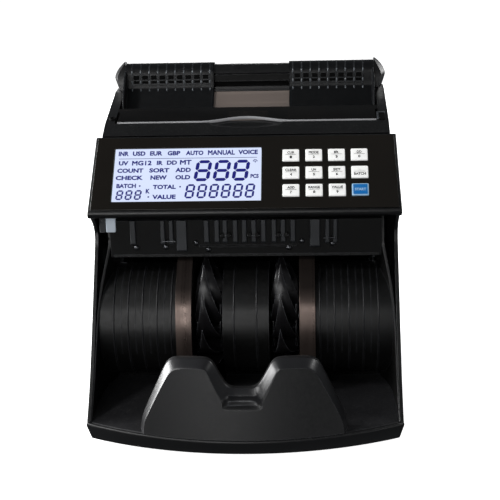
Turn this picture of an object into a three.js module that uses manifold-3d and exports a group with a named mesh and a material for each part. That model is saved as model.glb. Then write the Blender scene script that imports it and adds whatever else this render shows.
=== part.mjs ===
// Friction-feed banknote counter, desktop model.
// Millimetres, +Z up, front of the machine towards -Y, its right-hand side towards +X.
// Origin: centre of the footprint on the table the rubber feet stand on.
import * as THREE from "three";
import { mergeVertices } from "three/addons/utils/BufferGeometryUtils.js";
import Module from "manifold-3d";

const wasm = await Module();
wasm.setup();
const PI = Math.PI;
const DEG = PI / 180;
const SIDES = [-1, 1]; // left, right

// ---------------------------------------------------------------- driving dimensions
const HALF_W = 125; // base tray half width
const CORNER_Y = -104; // front corners of the base tray
const LIP_R = 283.9; // plan radius of the bowed front lip
const LIP_CENTRE_Y = 150.9;
const REAR_Y = 122; // rear end of the tray and side covers
const WALL = 3; // tray and side cover thickness
const BASE_Z = 3; // underside of the tray, above the table
// Axles and other centres seen from the side, as (y, z)
const WHEEL_C = [-6, 70];
const FEED_C = [50, 165];
const PICK_C = [77, 202];
const SEPARATOR_C = [27.1, 186.3];
const MOTOR_C = [84, 62];
const DRUM_R = 47; // ribbed drum of the stacker liner
const WHEEL_R = 56; // stacker wheels
const WHEEL_X = 31.5;
const WHEEL_W = 22;
const ROLLER_X = 26; // feed and pick-up rollers, either side of the middle
const SHAFT_R = 4;
const BORE_R = 4.3; // parts that sit on a shaft
const CHASSIS_X = 106; // inner face of the steel side plates
const TAB_X = 50; // tabs of the stacker stop

// ---------------------------------------------------------------- spans and paths
// A span is [low, high] along one axis.
const about = (centre, half) => [centre - half, centre + half];
const grow = ([low, high], by) => [low - by, high + by];
const sideSpan = (side, inner, outer) => (side < 0 ? [-outer, -inner] : [inner, outer]);
const mirrored = (points, side) => points.map(([x, other]) => [side * x, other]);
const sideName = (name, side) => name + (side < 0 ? "_left" : "_right");

function unit([a, b]) {
  const length = Math.hypot(a, b);
  return [a / length, b / length];
}
const direction = (start, end) => unit([end[0] - start[0], end[1] - start[1]]);
const arc = (radius, [a, b], steps, from, to) =>
  Array.from({ length: steps + 1 }, (_, i) => {
    const angle = from + ((to - from) * i) / steps;
    return [a + radius * Math.cos(angle), b + radius * Math.sin(angle)];
  });
const band = (path, otherPath) => path.concat([...otherPath].reverse());

// Outline of a sheet whose centre line is path, with mitred bends
function strip(path, thickness) {
  const MIN_MITRE = 0.4; // keeps sharp bends from spiking
  const left = [];
  const right = [];
  path.forEach((point, i) => {
    const before = i > 0 ? direction(path[i - 1], point) : direction(point, path[1]);
    const after = i < path.length - 1 ? direction(point, path[i + 1]) : before;
    const normal = unit([-(before[1] + after[1]), before[0] + after[0]]);
    const mitre = normal[1] * before[0] - normal[0] * before[1];
    const reach = thickness / 2 / Math.max(MIN_MITRE, mitre);
    left.push([point[0] + normal[0] * reach, point[1] + normal[1] * reach]);
    right.push([point[0] - normal[0] * reach, point[1] - normal[1] * reach]);
  });
  return band(left, right);
}

// ---------------------------------------------------------------- solids
function solid(geometry) {
  const bare = geometry.index ? geometry.toNonIndexed() : geometry.clone();
  bare.deleteAttribute("normal");
  bare.deleteAttribute("uv");
  const merged = mergeVertices(bare, 1e-4);
  return new wasm.Manifold(
    new wasm.Mesh({
      numProp: 3,
      vertProperties: merged.attributes.position.array,
      triVerts: new Uint32Array(merged.index.array),
    }),
  );
}
function geometryOf(manifold) {
  const mesh = manifold.getMesh();
  const stride = mesh.numProp;
  const positions = new Float32Array(mesh.numVert * 3);
  for (let i = 0; i < mesh.numVert; i++)
    positions.set(mesh.vertProperties.subarray(i * stride, i * stride + 3), i * 3);
  const geometry = new THREE.BufferGeometry()
    .setAttribute("position", new THREE.BufferAttribute(positions, 3))
    .setIndex(new THREE.BufferAttribute(new Uint32Array(mesh.triVerts), 1));
  geometry.computeVertexNormals();
  return geometry;
}
const union = (list) => list.reduce((sum, part) => sum.add(part));
const vectors = (points) => points.map(([x, y]) => new THREE.Vector2(x, y));

function prism(points, depth, axes, offset) {
  const clockwise = THREE.ShapeUtils.area(vectors(points)) < 0;
  const shape = new THREE.Shape(vectors(clockwise ? [...points].reverse() : points));
  const geometry = new THREE.ExtrudeGeometry(shape, { depth, bevelEnabled: false, steps: 1 });
  geometry.applyMatrix4(axes);
  geometry.translate(...offset);
  return solid(geometry);
}
const basis = (...axes) =>
  new THREE.Matrix4().makeBasis(...axes.map((axis) => new THREE.Vector3(...axis)));
const YZ_TO_X = basis([0, 1, 0], [0, 0, 1], [1, 0, 0]);
const XZ_TO_Y = basis([1, 0, 0], [0, 0, 1], [0, -1, 0]); // extrudes towards -Y
const XY_TO_Z = new THREE.Matrix4();
// (y, z) outline run along x, (x, z) outline along y, (x, y) outline along z
const alongX = (points, [low, high]) => prism(points, high - low, YZ_TO_X, [low, 0, 0]);
const alongY = (points, [low, high]) => prism(points, high - low, XZ_TO_Y, [0, high, 0]);
const alongZ = (points, [low, high]) => prism(points, high - low, XY_TO_Z, [0, 0, low]);

function box(...spans) {
  const geometry = new THREE.BoxGeometry(...spans.map(([low, high]) => high - low));
  geometry.translate(...spans.map(([low, high]) => (low + high) / 2));
  return solid(geometry);
}
function rodX(radius, [low, high], [y, z], segments = 32) {
  const geometry = new THREE.CylinderGeometry(radius, radius, high - low, segments);
  geometry.rotateZ(PI / 2);
  geometry.translate((low + high) / 2, y, z);
  return solid(geometry);
}
function rodZ(radius, [low, high], [x, y], segments = 24) {
  const geometry = new THREE.CylinderGeometry(radius, radius, high - low, segments);
  geometry.rotateX(PI / 2);
  geometry.translate(x, y, (low + high) / 2);
  return solid(geometry);
}

// ---------------------------------------------------------------- materials
const material = (look) => new THREE.MeshStandardMaterial(look);
const SHELL = material({ color: 0x101112, roughness: 0.38 });
const LINER = material({ color: 0x0b0b0c, roughness: 0.45 });
const GLOSS = material({ color: 0x17140f, roughness: 0.16 });
const STOP = material({ color: 0x1d1d1e, roughness: 0.5 });
const GUIDE = material({ color: 0x16191b, roughness: 0.4 });
const SMOKED = material({ color: 0x1a1a1c, roughness: 0.08, transparent: true, opacity: 0.55 });
const STEEL = material({ color: 0x6d6460, roughness: 0.28, metalness: 1 });
const ZINC = material({ color: 0x9a9da0, roughness: 0.4, metalness: 1 });
const RUBBER = material({ color: 0x1a1a1a, roughness: 0.85 });
const WHITE = material({ color: 0xe9e9e6, roughness: 0.4 });
const BLUE = material({ color: 0x1e6fb8, roughness: 0.35 });
const BOARD = material({ color: 0x16532c, roughness: 0.5 });
const DISPLAY = material({ color: 0xc9d2ff, roughness: 0.2 });
const WHEEL = material({ color: 0x1b1c20, roughness: 0.25 });

// ---------------------------------------------------------------- groups
const counter = new THREE.Group();
const machine = new THREE.Group();
machine.position.y = 2.5; // brings the footprint's centre to the origin
counter.add(machine);

function add(parent, name, manifold, surface, position = [0, 0, 0]) {
  const mesh = new THREE.Mesh(geometryOf(manifold), surface);
  mesh.name = name;
  mesh.position.set(...position);
  parent.add(mesh);
}
function addPair(name, build, surface) {
  for (const side of SIDES) add(machine, sideName(name, side), build(side), surface);
}
function tiltedGroup(position, tilt) {
  const group = new THREE.Group();
  group.position.set(...position);
  group.rotation.x = tilt;
  machine.add(group);
  return group;
}

// ---------------------------------------------------------------- base tray and feet
const FOOT_H = 3.7;
const FEET = [ // x, y, name
  [-105, -84, "front_left"], [105, -84, "front_right"],
  [-105, 104, "rear_left"], [105, 104, "rear_right"],
];
const deckZ = (y) => 17 + (y - CORNER_Y) * 0.06; // top of the lip and of the floor

// Plan path parallel to the front lip
const lipPath = (halfWidth, inset, steps) =>
  Array.from({ length: steps + 1 }, (_, i) => {
    const x = -halfWidth + (2 * halfWidth * i) / steps;
    return [x, LIP_CENTRE_Y - Math.sqrt((LIP_R - inset) ** 2 - x * x)];
  });
function footprint(inset, rearY) {
  const halfWidth = HALF_W - inset;
  return [...lipPath(halfWidth, inset, 20), [halfWidth, rearY], [-halfWidth, rearY]];
}
function underDeck(offset, [front, rear]) {
  const top = [[rear, deckZ(rear) + offset], [front, deckZ(front) + offset]];
  return alongX([[front, -10], [rear, -10], ...top], [-140, 140]);
}
// Room the stacker wheel sweeps
const wheelClearance = (side) =>
  rodX(WHEEL_R + 1.6, about(side * WHEEL_X, WHEEL_W / 2 + 1.4), WHEEL_C, 32);

function baseTray() {
  const cavity = alongZ(footprint(WALL, REAR_Y - WALL), [6, 40]);
  let tray = alongZ(footprint(0, REAR_Y), [BASE_Z, 24]).intersect(underDeck(0, [-140, 140]));
  tray = tray.subtract(cavity.intersect(underDeck(-4.6, [-140, -18])));
  tray = tray.subtract(cavity.intersect(box([-140, 140], [-20, 140], [5, 60])));
  // recess of the deck that takes the stacker liner's floor
  const aboveRecess = [[-140, deckZ(-140) - 2.2], [-10, deckZ(-10) - 2.2], [-10, 60], [-140, 60]];
  tray = tray.subtract(
    alongZ(footprint(2.6, -16), [10, 40]).intersect(alongX(aboveRecess, [-140, 140])));
  for (const side of SIDES) tray = tray.subtract(wheelClearance(side));
  // sockets for the stop's two tabs, and their walls under the deck
  for (const side of SIDES) {
    tray = tray.add(box(about(side * TAB_X, 9), [-124.6, -116], [5, deckZ(-120) - 2.6]));
    tray = tray.subtract(box(about(side * TAB_X, 7.4), [-122.9, -117.6], [7, 30]));
  }
  for (const [x, y] of FEET) tray = tray.subtract(rodZ(9.4, [0, 4], [x, y]));
  return tray;
}
function foot() {
  const profile = [[0, 0], [8.2, 0], [9, 1], [9, FOOT_H], [0, FOOT_H]]; // radius, height
  const geometry = new THREE.LatheGeometry(vectors(profile), 16);
  geometry.rotateX(PI / 2);
  return solid(geometry);
}
add(machine, "base_tray", baseTray(), SHELL);
for (const [x, y, name] of FEET) add(machine, "foot_" + name, foot(), RUBBER, [x, y, 0]);

// ---------------------------------------------------------------- side covers
// (y, z) front edge, from the lip corner up to the panel
const FRONT_EDGE = [
  [-103, 17.6], [-91, 31], [-80, 45], [-63, 71.5], [-47, 98], [-33, 121.5], [-24, 137],
  [-20.8, 143.5], [-20.4, 149.5], [-22.6, 154.6], [-27.2, 159.4], [-34, 164.7],
];
const COVER_SIDE = [ // (y, z)
  ...FRONT_EDGE, [-19.4, 170.5], [-18.2, 171.4], [REAR_Y, 185.4], [REAR_Y, 26.5],
  [120, 26.5], [120, 24.6], [-20, 24.6], [-20, deckZ(-20) + 0.3], [-102.6, deckZ(-102.6) + 0.3],
];
function sideCover(side) {
  let cover = alongX(COVER_SIDE, sideSpan(side, 121.6, 124.6));
  for (let i = 0; i < 6; i++) // cooling louvres near the rear
    cover = cover.subtract(box(sideSpan(side, 115, 130), [62 + i * 8, 65 + i * 8], [52, 92]));
  return cover;
}
addPair("side_cover", sideCover, SHELL);

// ---------------------------------------------------------------- stacker liner
const DRUM_INNER_R = DRUM_R - 2.5;
const RIB_X = [
  ...SIDES.flatMap((side) => [0, 1, 2, 3, 4].map((i) => side * (60.5 + i * 11.8))), -9, 9,
];
const CHEEK_PLAN = [ // (x, y) for the right-hand side
  [121.2, -103.5], [120.2, -103.5], [120.2, -70], [119.4, -52], [117, -40],
  [113.2, -29], [111, -22], [110.4, -18], [121.2, -18],
];
const CHEEK_HOLLOW = [ // (x, y) for the right-hand side
  [119.6, -38], [118.2, -38], [115, -27.4], [112.6, -20], [112.6, -14], [119.6, -14],
];
function drumShell(outer, inner, steps, from, to, xSpan) {
  const edge = (radius) => arc(radius, WHEEL_C, steps, from * DEG, to * DEG);
  return alongX(band(edge(outer), edge(inner)), xSpan);
}
function linerFloor() {
  const slab = [
    [-140, deckZ(-140) - 1.9], [-19, deckZ(-19) - 1.9], [-19, deckZ(-19)], [-140, deckZ(-140)],
  ];
  return alongZ(footprint(3, -17), [5, 40])
    .intersect(alongX(slab, [-130, 130]))
    .subtract(rodX(DRUM_INNER_R, [-130, 130], WHEEL_C, 44));
}
// Slanted cheek, its front edge just inside that of the side cover
function linerCheek(side) {
  const elevation = [
    ...FRONT_EDGE.map(([y, z]) => [y + 0.8, z - 0.4]), [-28, 163.8], [-18, 163.8],
    [-18, deckZ(-18) - 1.2], [-101, deckZ(-101) - 1.2],
  ];
  return alongZ(mirrored(CHEEK_PLAN, side), [10, 170])
    .intersect(alongX(elevation, [-130, 130]))
    .subtract(alongZ(mirrored(CHEEK_HOLLOW, side), [24, 150]));
}
function bayLiner() {
  let liner = drumShell(DRUM_R, DRUM_INNER_R, 18, 88, 252, [-120, 120]).add(linerFloor());
  // toe that joins the drum's lower edge to the floor
  const toe = [[-24, 20.8], [-17, 21.2], [-17, 27.6], [-20.6, 27.4]];
  liner = liner.add(alongX(toe, [-112.6, 112.6]));
  for (const side of SIDES) liner = liner.add(linerCheek(side));
  for (const side of SIDES) liner = liner.subtract(wheelClearance(side));
  // clearance for the stacker pulley
  liner = liner.subtract(rodX(20, [-122, -114], WHEEL_C, 24));
  // slots for the stop's tabs
  for (const side of SIDES)
    liner = liner.subtract(box(about(side * TAB_X, 7.6), [-123.1, -117.4], [5, 30]));
  // fine ribs on the drum
  for (const x of RIB_X)
    liner = liner.add(drumShell(DRUM_R + 0.7, DRUM_R - 0.8, 7, 110, 232, about(x, 0.45)));
  return liner;
}
add(machine, "bay_liner", bayLiner(), LINER);

// Polished spring strips over the drum, outboard of the wheels
const SPRING_PATH = [ // (y, z)
  [-20.4, 127.4], [-26, 123], [-38, 113], [-51, 99.5], [-56.8, 84], [-57.6, 62], [-55, 42],
  [-51, 27],
];
const outletStrip = (side) => alongX(strip(SPRING_PATH, 0.8), about(side * 50.2, 6.4));
addPair("outlet_strip", outletStrip, STEEL);

// ---------------------------------------------------------------- outlet wall under the panel
const WALL_RIBS = [ // x, width, bottom z
  [-92, 5, 141], [-67.5, 4, 141], [-60.5, 4, 141], [-52, 9, 135], [-31.5, 4.4, 142],
  [-23, 4.4, 142], [-16.4, 4.4, 142], [-8, 4.4, 142], [-0.6, 4.4, 142], [7.2, 4.4, 142],
  [15, 4.4, 142], [23.6, 4.4, 142], [31, 4.4, 142], [39, 4.4, 142], [57, 8.4, 138],
  [67, 3.8, 141], [73.4, 3.8, 141],
];
function outletWall() {
  const section = [
    [-24, 129], [-21.4, 129], [-21.4, 158], [-17, 163.5], [-18.6, 165.4], [-24, 160],
  ];
  let wall = alongX(section, [-110.4, 110.4]);
  for (const [x, width, bottom] of WALL_RIBS)
    wall = wall.add(box(about(x, width / 2), [-26.6, -23.5], [bottom, 159]));
  return wall.add(box([-38, 42], [-25, -23.5], [137.2, 138.6]));
}
add(machine, "outlet_wall", outletWall(), LINER);

// Ultraviolet, infrared and magnetic sensor bar above the note path
const SENSOR_SECTION = [[5.4, 163], [-13, 142.4], [-18, 147.4], [0.4, 168]];
add(machine, "sensor_bar", alongX(SENSOR_SECTION, [-100, 100]), BOARD);

// ---------------------------------------------------------------- stacker stop
// Bowed like the lip, with two humps and two tabs; it lifts out of the tray's sockets.
const STOP_LEAN = 0.2; // backward lean, y per z
const STOP_BASE_Z = 16.6;
const STOP_REAR_INSET = 14; // from the lip's outer face
const STOP_LAYERS = [[8, 0], [4.5, 2.2], [1, 4.4]]; // front inset, outline inset

function stopOutline(inset) { // (x, z)
  const hump = [
    [80 - inset, inset > 5 ? 2.6 : -2],
    [80 - inset, 9],
    [61.4 - inset * 0.9, 48.4 - inset * 0.6],
    [58.4 - inset * 0.8, 53.6 - inset * 0.8],
    [53 - inset * 0.6, 57 - inset],
    [28 + inset * 0.4, 58 - inset],
    [23.6 + inset * 0.7, 56 - inset],
    [20.2 + inset, 51 - inset * 0.8],
    [12.8 + inset, 34.4 - inset * 1.2],
    [9 + inset * 0.8, 32.4 - inset * 2],
  ];
  return band(hump, mirrored(hump, -1));
}
function stopLayer(outlineInset, frontInset, rearInset) {
  const plan = band(lipPath(84, frontInset, 12), lipPath(84, rearInset, 12));
  return alongY(stopOutline(outlineInset), [-150, -60]).intersect(alongZ(plan, [-5, 80]));
}
function stackerStop() {
  // layers get smaller towards the front, which steps the edges and the valley
  const block = union(STOP_LAYERS.map(([front, outline]) =>
    stopLayer(outline, front, STOP_REAR_INSET)));
  const hollowed = block.subtract(stopLayer(6.4, 3.6, STOP_REAR_INSET + 3));
  const geometry = geometryOf(hollowed);
  geometry.applyMatrix4(
    new THREE.Matrix4().set(1, 0, 0, 0, 0, 1, STOP_LEAN, 0, 0, 0, 1, 0, 0, 0, 0, 1));
  geometry.translate(0, 0, STOP_BASE_Z);
  // the underside follows the deck, and the two tabs stay upright
  const below = [[-140, deckZ(-140) + 0.3], [-140, 0], [-60, 0], [-60, deckZ(-60) + 0.3]];
  let stop = solid(geometry).subtract(alongX(below, [-90, 90]));
  for (const side of SIDES)
    stop = stop.add(box(about(side * TAB_X, 7), [-122.5, -118], [9.8, 19.6]));
  return stop;
}
add(machine, "stacker_stop", stackerStop(), STOP);

// ---------------------------------------------------------------- control panel
// Local frame: x right, y up the slope, z out of the panel; origin on its lower edge.
const PANEL_L = 72.5; // length up the slope
const KEY_HALF_W = 13.6 / 2;
const KEY_HALF_H = 11.4 / 2;
const KEY_CENTRES = [52, 35.1, 18.3].flatMap((y) => [37.9, 56.6, 75.2, 93.7].map((x) => [x, y]));
const KEY_TRAVEL = 0.8;
const SWITCH_TOP = -5.6;
const LCD_X = [-107.6, 14];
const LCD_Y = [9.2, 60.7];
const CUT_Z = [-6, 3]; // cuts through the panel's face
const panel = tiltedGroup([0, -37.6, 171.3], 43.9 * DEG);
const keyHoles = union(KEY_CENTRES.map(([x, y]) =>
  box(about(x, KEY_HALF_W + 0.35), about(y, KEY_HALF_H + 0.35), CUT_Z)));

function frontBezel() {
  const halfWidth = (y) => 126.4 - (y / PANEL_L) * 1.7;
  const trapezoid = (inset) => {
    const lower = halfWidth(-3) - inset;
    const upper = halfWidth(74) - inset;
    const points = [
      [-lower, -3 + inset], [lower, -3 + inset], [upper, 74 - inset], [-upper, 74 - inset],
    ];
    return alongZ(points, [-20, 5]);
  };
  const outer = [ // (y, z)
    [-3, -3.2], [-1.6, -0.8], [0, 0], [72.6, 0], [74, -1.6], [74, -12], [12, -12], [-2.2, -6.4],
  ];
  const inner = [[1.6, -4.4], [2.6, -2.6], [71.4, -2.6], [71.4, -14], [13.5, -14], [3.4, -8]];
  return alongX(outer, [-130, 130])
    .intersect(trapezoid(0))
    .subtract(alongX(inner, [-130, 130]).intersect(trapezoid(2.6)))
    .subtract(box(grow(LCD_X, 0.6), grow(LCD_Y, 0.6), CUT_Z))
    .subtract(keyHoles);
}
function panelOverlay() {
  const outline = [[-124, 1.6], [124, 1.6], [122.6, 71.2], [-122.6, 71.2]];
  return alongZ(outline, [0.25, 0.95]).subtract(keyHoles).subtract(box(LCD_X, LCD_Y, CUT_Z));
}
function displayBoard() {
  let board = box([-112, 112], [8, 69.6], [-8.6, -7]);
  for (const [x, y] of KEY_CENTRES) // key switches
    board = board.add(box(about(x, 2.6), about(y, 2.6), [-7.2, SWITCH_TOP]));
  return board.add(box([-100, 8], [14.7, 54.7], [-7.2, -4.6])); // block behind the display
}
function keyCap() {
  return box(about(0, KEY_HALF_W), about(0, KEY_HALF_H), [-1.6, 1.0])
    .add(box(about(0, KEY_HALF_W - 0.5), about(0, KEY_HALF_H - 0.5), [0.9, 1.6]))
    .add(box(about(0, 1.6), about(0, 1.6), [SWITCH_TOP + KEY_TRAVEL + 0.2, -1.5])); // stem
}
add(panel, "front_bezel", frontBezel(), SHELL);
add(panel, "panel_overlay", panelOverlay(), GLOSS);
add(panel, "lcd_module", box(grow(LCD_X, -0.4), grow(LCD_Y, -0.4), [-4, 0.7]), DISPLAY);
add(panel, "display_board", displayBoard(), BOARD);
KEY_CENTRES.forEach(([x, y], i) => {
  const isStart = i === KEY_CENTRES.length - 1;
  const name = isStart ? "key_start" : "key_" + (i + 1);
  add(panel, name, keyCap(), isStart ? BLUE : WHITE, [x, y, 0]);
});

// ---------------------------------------------------------------- top housing
// Shoulder, hopper rims and rear deck; outlines as (y, z)
const TOP_OUTER = [
  [17.1, 222.3], [34, 229.8], [60, 236.6], [97, 246.2], [114, 247.2], [119, 245.2], [122, 240],
  [122, 179.5], [-13, 167.6], [-16.8, 173.8], [24.8, 214.3],
];
const TOP_INNER = [
  [21.6, 221.2], [35.3, 226.9], [60.8, 233.6], [97.6, 243.2], [112, 243.9], [117, 242],
  [119, 238], [119, 150], [-60, 150], [-60, 174.8], [-22.6, 174.8], [24.3, 214], [26.6, 216],
];
function topHousing() {
  const envelope = alongX(TOP_OUTER, [-120, 120]);
  // finger scoop in the shoulder under the smoked cover's edge
  const scoop = new THREE.SphereGeometry(1, 20, 12);
  scoop.scale(33, 7.4, 5);
  scoop.rotateX(0.3);
  scoop.translate(0, 31.8, 230.4);
  const scoopBlock = [[27, 221], [41.4, 224], [41.4, 229.6], [33.4, 227.5], [27, 224.9]];
  let top = envelope
    .subtract(alongX(TOP_INNER, [-117, 117]))
    .subtract(box([-112, 112], [33.6, 98.6], [190, 260]))
    .add(alongX(scoopBlock, [-38, 38]))
    .subtract(solid(scoop));
  // hopper side walls hanging from the rims
  for (const side of SIDES)
    top = top.add(box(sideSpan(side, 112, 114), [33, 98], [214, 244]).intersect(envelope));
  return top;
}
add(machine, "top_housing", topHousing(), SHELL);

// ---------------------------------------------------------------- smoked hopper cover
// Local frame: origin on the hinge at the rear, y runs back along the plate.
const cover = tiltedGroup([0, 59, 236.3], 15 * DEG);
function hopperCover() {
  const frontY = -25.6;
  const notch = Array.from({ length: 17 }, (_, i) => { // cosine notch in the front edge
    const across = -1 + (2 * i) / 16;
    return [across * 38, frontY + 8.2 * (0.5 + 0.5 * Math.cos(across * PI))];
  });
  const outline = [
    [-109.6, frontY], [-40, frontY], ...notch, [40, frontY], [109.6, frontY],
    [109.6, -5.5], [111.4, -5.5], [111.4, 2], [-111.4, 2], [-111.4, -5.5], [-109.6, -5.5],
  ];
  return alongZ(outline, [-1.7, 0.9]).add(rodX(1.3, [-111.4, 111.4], [0, -0.4], 16));
}
add(cover, "hopper_cover", hopperCover(), SMOKED);

// ---------------------------------------------------------------- hopper plate
function hopperPlate() {
  const thickness = 1.2;
  const normal = [-0.7314, 0.682]; // (y, z) out of the plate, towards the notes
  const upper = [97, 52].map((y) => [y, 245.5 - 1.0724 * (97 - y)]);
  const lower = upper.map(([y, z]) => [y - normal[0] * thickness, z - normal[1] * thickness]);
  let plate = alongX(band(upper, lower), [-110.4, 110.4]);
  for (const side of SIDES) // windows for the pick-up rollers
    plate = plate.subtract(box(about(side * ROLLER_X, 9), [56, 84], [190, 240]));
  return plate;
}
add(machine, "hopper_plate", hopperPlate(), STEEL);

// ---------------------------------------------------------------- hopper rear rail
const RAIL_OUTER = [ // (y, z)
  [99.6, 248.4], [99.6, 261.6], [102.8, 266.4], [110, 268.4], [116, 265.8], [118, 261],
  [118, 248.4],
];
const RAIL_INNER = [
  [102, 240], [102, 260.6], [104.4, 264.2], [110, 265.8], [114.2, 264], [115.6, 260.4],
  [115.6, 240],
];
const RAIL_CHEEK = [
  [95.5, 247.6], [97, 256], [100, 264], [104, 269.4], [109, 271.6], [114, 271.2], [119, 268],
  [122.4, 262], [123.6, 254], [123, 247.9], [114, 247.9],
];
// Cuts that lean the cheek's outer face in, above and below; (x, z) on the right-hand side
const CHEEK_CUTS = [
  [[122.2, 252.5], [140, 252], [140, 290], [112.2, 290], [112.2, 272]],
  [[119.6, 240], [130, 240], [130, 251], [122.3, 251.6]],
];
function hopperRearRail() {
  let rail = alongX(RAIL_OUTER, [-112, 112]).subtract(alongX(RAIL_INNER, [-109, 109]));
  for (const side of SIDES) {
    let cheek = alongX(RAIL_CHEEK, sideSpan(side, 111, 122));
    for (const cut of CHEEK_CUTS) cheek = cheek.subtract(alongY(mirrored(cut, side), [60, 140]));
    rail = rail.add(cheek);
  }
  return rail;
}
add(machine, "hopper_rear_rail", hopperRearRail(), SHELL);

// ---------------------------------------------------------------- note guides
// Sheets that wrap the rail and lie on the plate, with an upright flange at the outer end
const GUIDE_LEFT_X = [-110.2, -31];
const GUIDE_RIGHT_X = [36, 110.6];
const GUIDE_PATH = [ // (y, z), ends above the pick-up rollers
  [119.2, 253], [119.2, 261.4], [117, 266.8], [110.2, 269.7], [102.2, 267.5], [98.4, 262],
  [98.4, 249.4], [95.8, 246.7], [74, 223.3],
];
const GUIDE_FLANGE = [
  [98.9, 262], [98.9, 249], [96.2, 245.9], [63, 210.4], [58, 215.2], [60, 224], [74, 247],
  [86, 259], [96, 266.4],
];
function noteGuide(side) {
  const [low, high] = side < 0 ? GUIDE_LEFT_X : GUIDE_RIGHT_X;
  const underPlate = [[96.4, 244], [56, 200.7], [60, 190], [110, 240]];
  return alongX(strip(GUIDE_PATH, 1.6), [low, high])
    .add(alongX(GUIDE_FLANGE, side < 0 ? [low, low + 2] : [high - 2, high]))
    .subtract(alongX(underPlate, [-120, 120]));
}
addPair("note_guide", noteGuide, GUIDE);

// ---------------------------------------------------------------- chassis side plates
const CHASSIS = [ // (y, z)
  [-28, 52], [-28, 88], [8, 102], [14, 112], [14, 178], [30, 188], [62, 197.5], [86, 227],
  [97, 234], [113, 236], [113, 7.4], [10, 7.4], [-12, 32],
];
function chassisPlate(side) {
  const xSpan = sideSpan(side, CHASSIS_X, CHASSIS_X + 2);
  const through = grow(xSpan, 1);
  let plate = alongX(CHASSIS, xSpan);
  for (const axle of [WHEEL_C, FEED_C, PICK_C])
    plate = plate.subtract(rodX(SHAFT_R + 0.4, through, axle, 16));
  if (side < 0) plate = plate.subtract(rodX(9, through, MOTOR_C, 20));
  return plate.subtract(box(through, [40, 62], [20, 130]));
}
addPair("chassis_plate", chassisPlate, ZINC);

// ---------------------------------------------------------------- feed and pick-up shafts
const FLANGE_H = 1.6; // pulley flange, beyond the belt's seat
const FLANGE_W = 0.5;
const FEED_PULLEY_R = 14;
const LINK_PULLEY_R = 9; // the pair that links the feed and pick-up shafts
const LINK_X = [110.4, 115.6];

function pulley(radius, [low, high], centre) {
  return rodX(radius, [low, high], centre, 18)
    .add(rodX(radius + FLANGE_H, [low, low + FLANGE_W], centre, 18))
    .add(rodX(radius + FLANGE_H, [high - FLANGE_W, high], centre, 18));
}
const bored = (part, xSpan, centre) => part.subtract(rodX(BORE_R, grow(xSpan, 1), centre, 16));
const boredPulley = (radius, xSpan, centre) =>
  bored(pulley(radius, xSpan, centre), xSpan, centre);
const linkedShaft = (left, centre) =>
  rodX(SHAFT_R, [left, 111], centre, 16).add(pulley(LINK_PULLEY_R, LINK_X, centre));
function addRollers(name, radius, halfWidth, centre) {
  addPair(name, (side) => {
    const xSpan = about(side * ROLLER_X, halfWidth);
    return bored(rodX(radius, xSpan, centre, 30), xSpan, centre);
  }, RUBBER);
}
add(machine, "feed_shaft", linkedShaft(-115.4, FEED_C), ZINC);
addRollers("feed_roller", 20, 8, FEED_C);
add(machine, "feed_pulley", boredPulley(FEED_PULLEY_R, [-115.2, -110.2], FEED_C), SHELL);
add(machine, "pickup_shaft", linkedShaft(-110, PICK_C), ZINC);
addRollers("pickup_roller", 17, 7, PICK_C);

// ---------------------------------------------------------------- separator
function separatorRoller() {
  const axle = rodX(3, [-43, 43], SEPARATOR_C, 16);
  return rodX(10, [-35.4, 35.4], SEPARATOR_C, 32).add(axle);
}
function separatorBracket() {
  const arm = [[20, 200], [35.5, 206], [35.5, 180], [20, 180]];
  let bracket = alongX([[20, 199.5], [51, 212.4], [51, 214.9], [19, 201.8]], [-44, 44]);
  for (const side of SIDES) bracket = bracket.add(alongX(arm, sideSpan(side, 37.6, 41.6)));
  return bracket.subtract(rodX(3.4, [-60, 60], SEPARATOR_C, 20));
}
function gapScrew() {
  const centre = [0, 46.6]; // (x, y)
  return rodZ(4.6, [217.4, 226], centre, 20)
    .add(rodZ(1.8, [214.7, 218], centre, 12))
    .subtract(box([-7, 7], [45.9, 47.3], [224.6, 228])); // driver slot
}
add(machine, "separator_roller", separatorRoller(), RUBBER);
add(machine, "separator_bracket", separatorBracket(), ZINC);
add(machine, "gap_screw", gapScrew(), ZINC);

// ---------------------------------------------------------------- stacker shaft and wheels
const STACKER_PULLEY_R = 16;
const BLADES = 12;
const WHEEL_ENVELOPE = [[0, -11], [37, -11], [56, -3.4], [41, 11], [0, 11]]; // radius, x

function blade(index) {
  const rootR = 11;
  const path = Array.from({ length: 6 }, (_, i) => {
    const along = i / 5;
    const radius = rootR + (WHEEL_R - rootR) * along;
    const angle = index * ((2 * PI) / BLADES) - 0.95 * along * along - 0.25 * along;
    return [radius * Math.cos(angle), radius * Math.sin(angle)];
  });
  return alongX(strip(path, 1.5), about(0, WHEEL_W / 2));
}
function stackerWheel() {
  let rotor = rodX(13.5, about(0, WHEEL_W / 2), [0, 0], 24);
  for (let i = 0; i < BLADES; i++) rotor = rotor.add(blade(i));
  // blades narrow towards their tips: the rotor is turned to this outline
  const envelope = new THREE.LatheGeometry(vectors(WHEEL_ENVELOPE), 30);
  envelope.rotateZ(-PI / 2);
  return rotor.intersect(solid(envelope)).subtract(rodX(BORE_R, [-20, 20], [0, 0], 16));
}
add(machine, "stacker_shaft", rodX(SHAFT_R, [-120.8, 110], WHEEL_C, 20), ZINC);
const stackerPulley = boredPulley(STACKER_PULLEY_R, [-120.6, -116.4], WHEEL_C);
add(machine, "stacker_pulley", stackerPulley, SHELL);
const rotor = stackerWheel();
for (const side of SIDES)
  add(machine, sideName("stacker_wheel", side), rotor, WHEEL, [side * WHEEL_X, ...WHEEL_C]);

// ---------------------------------------------------------------- motor and belts
const MOTOR_PULLEY_R = 8;

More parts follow.
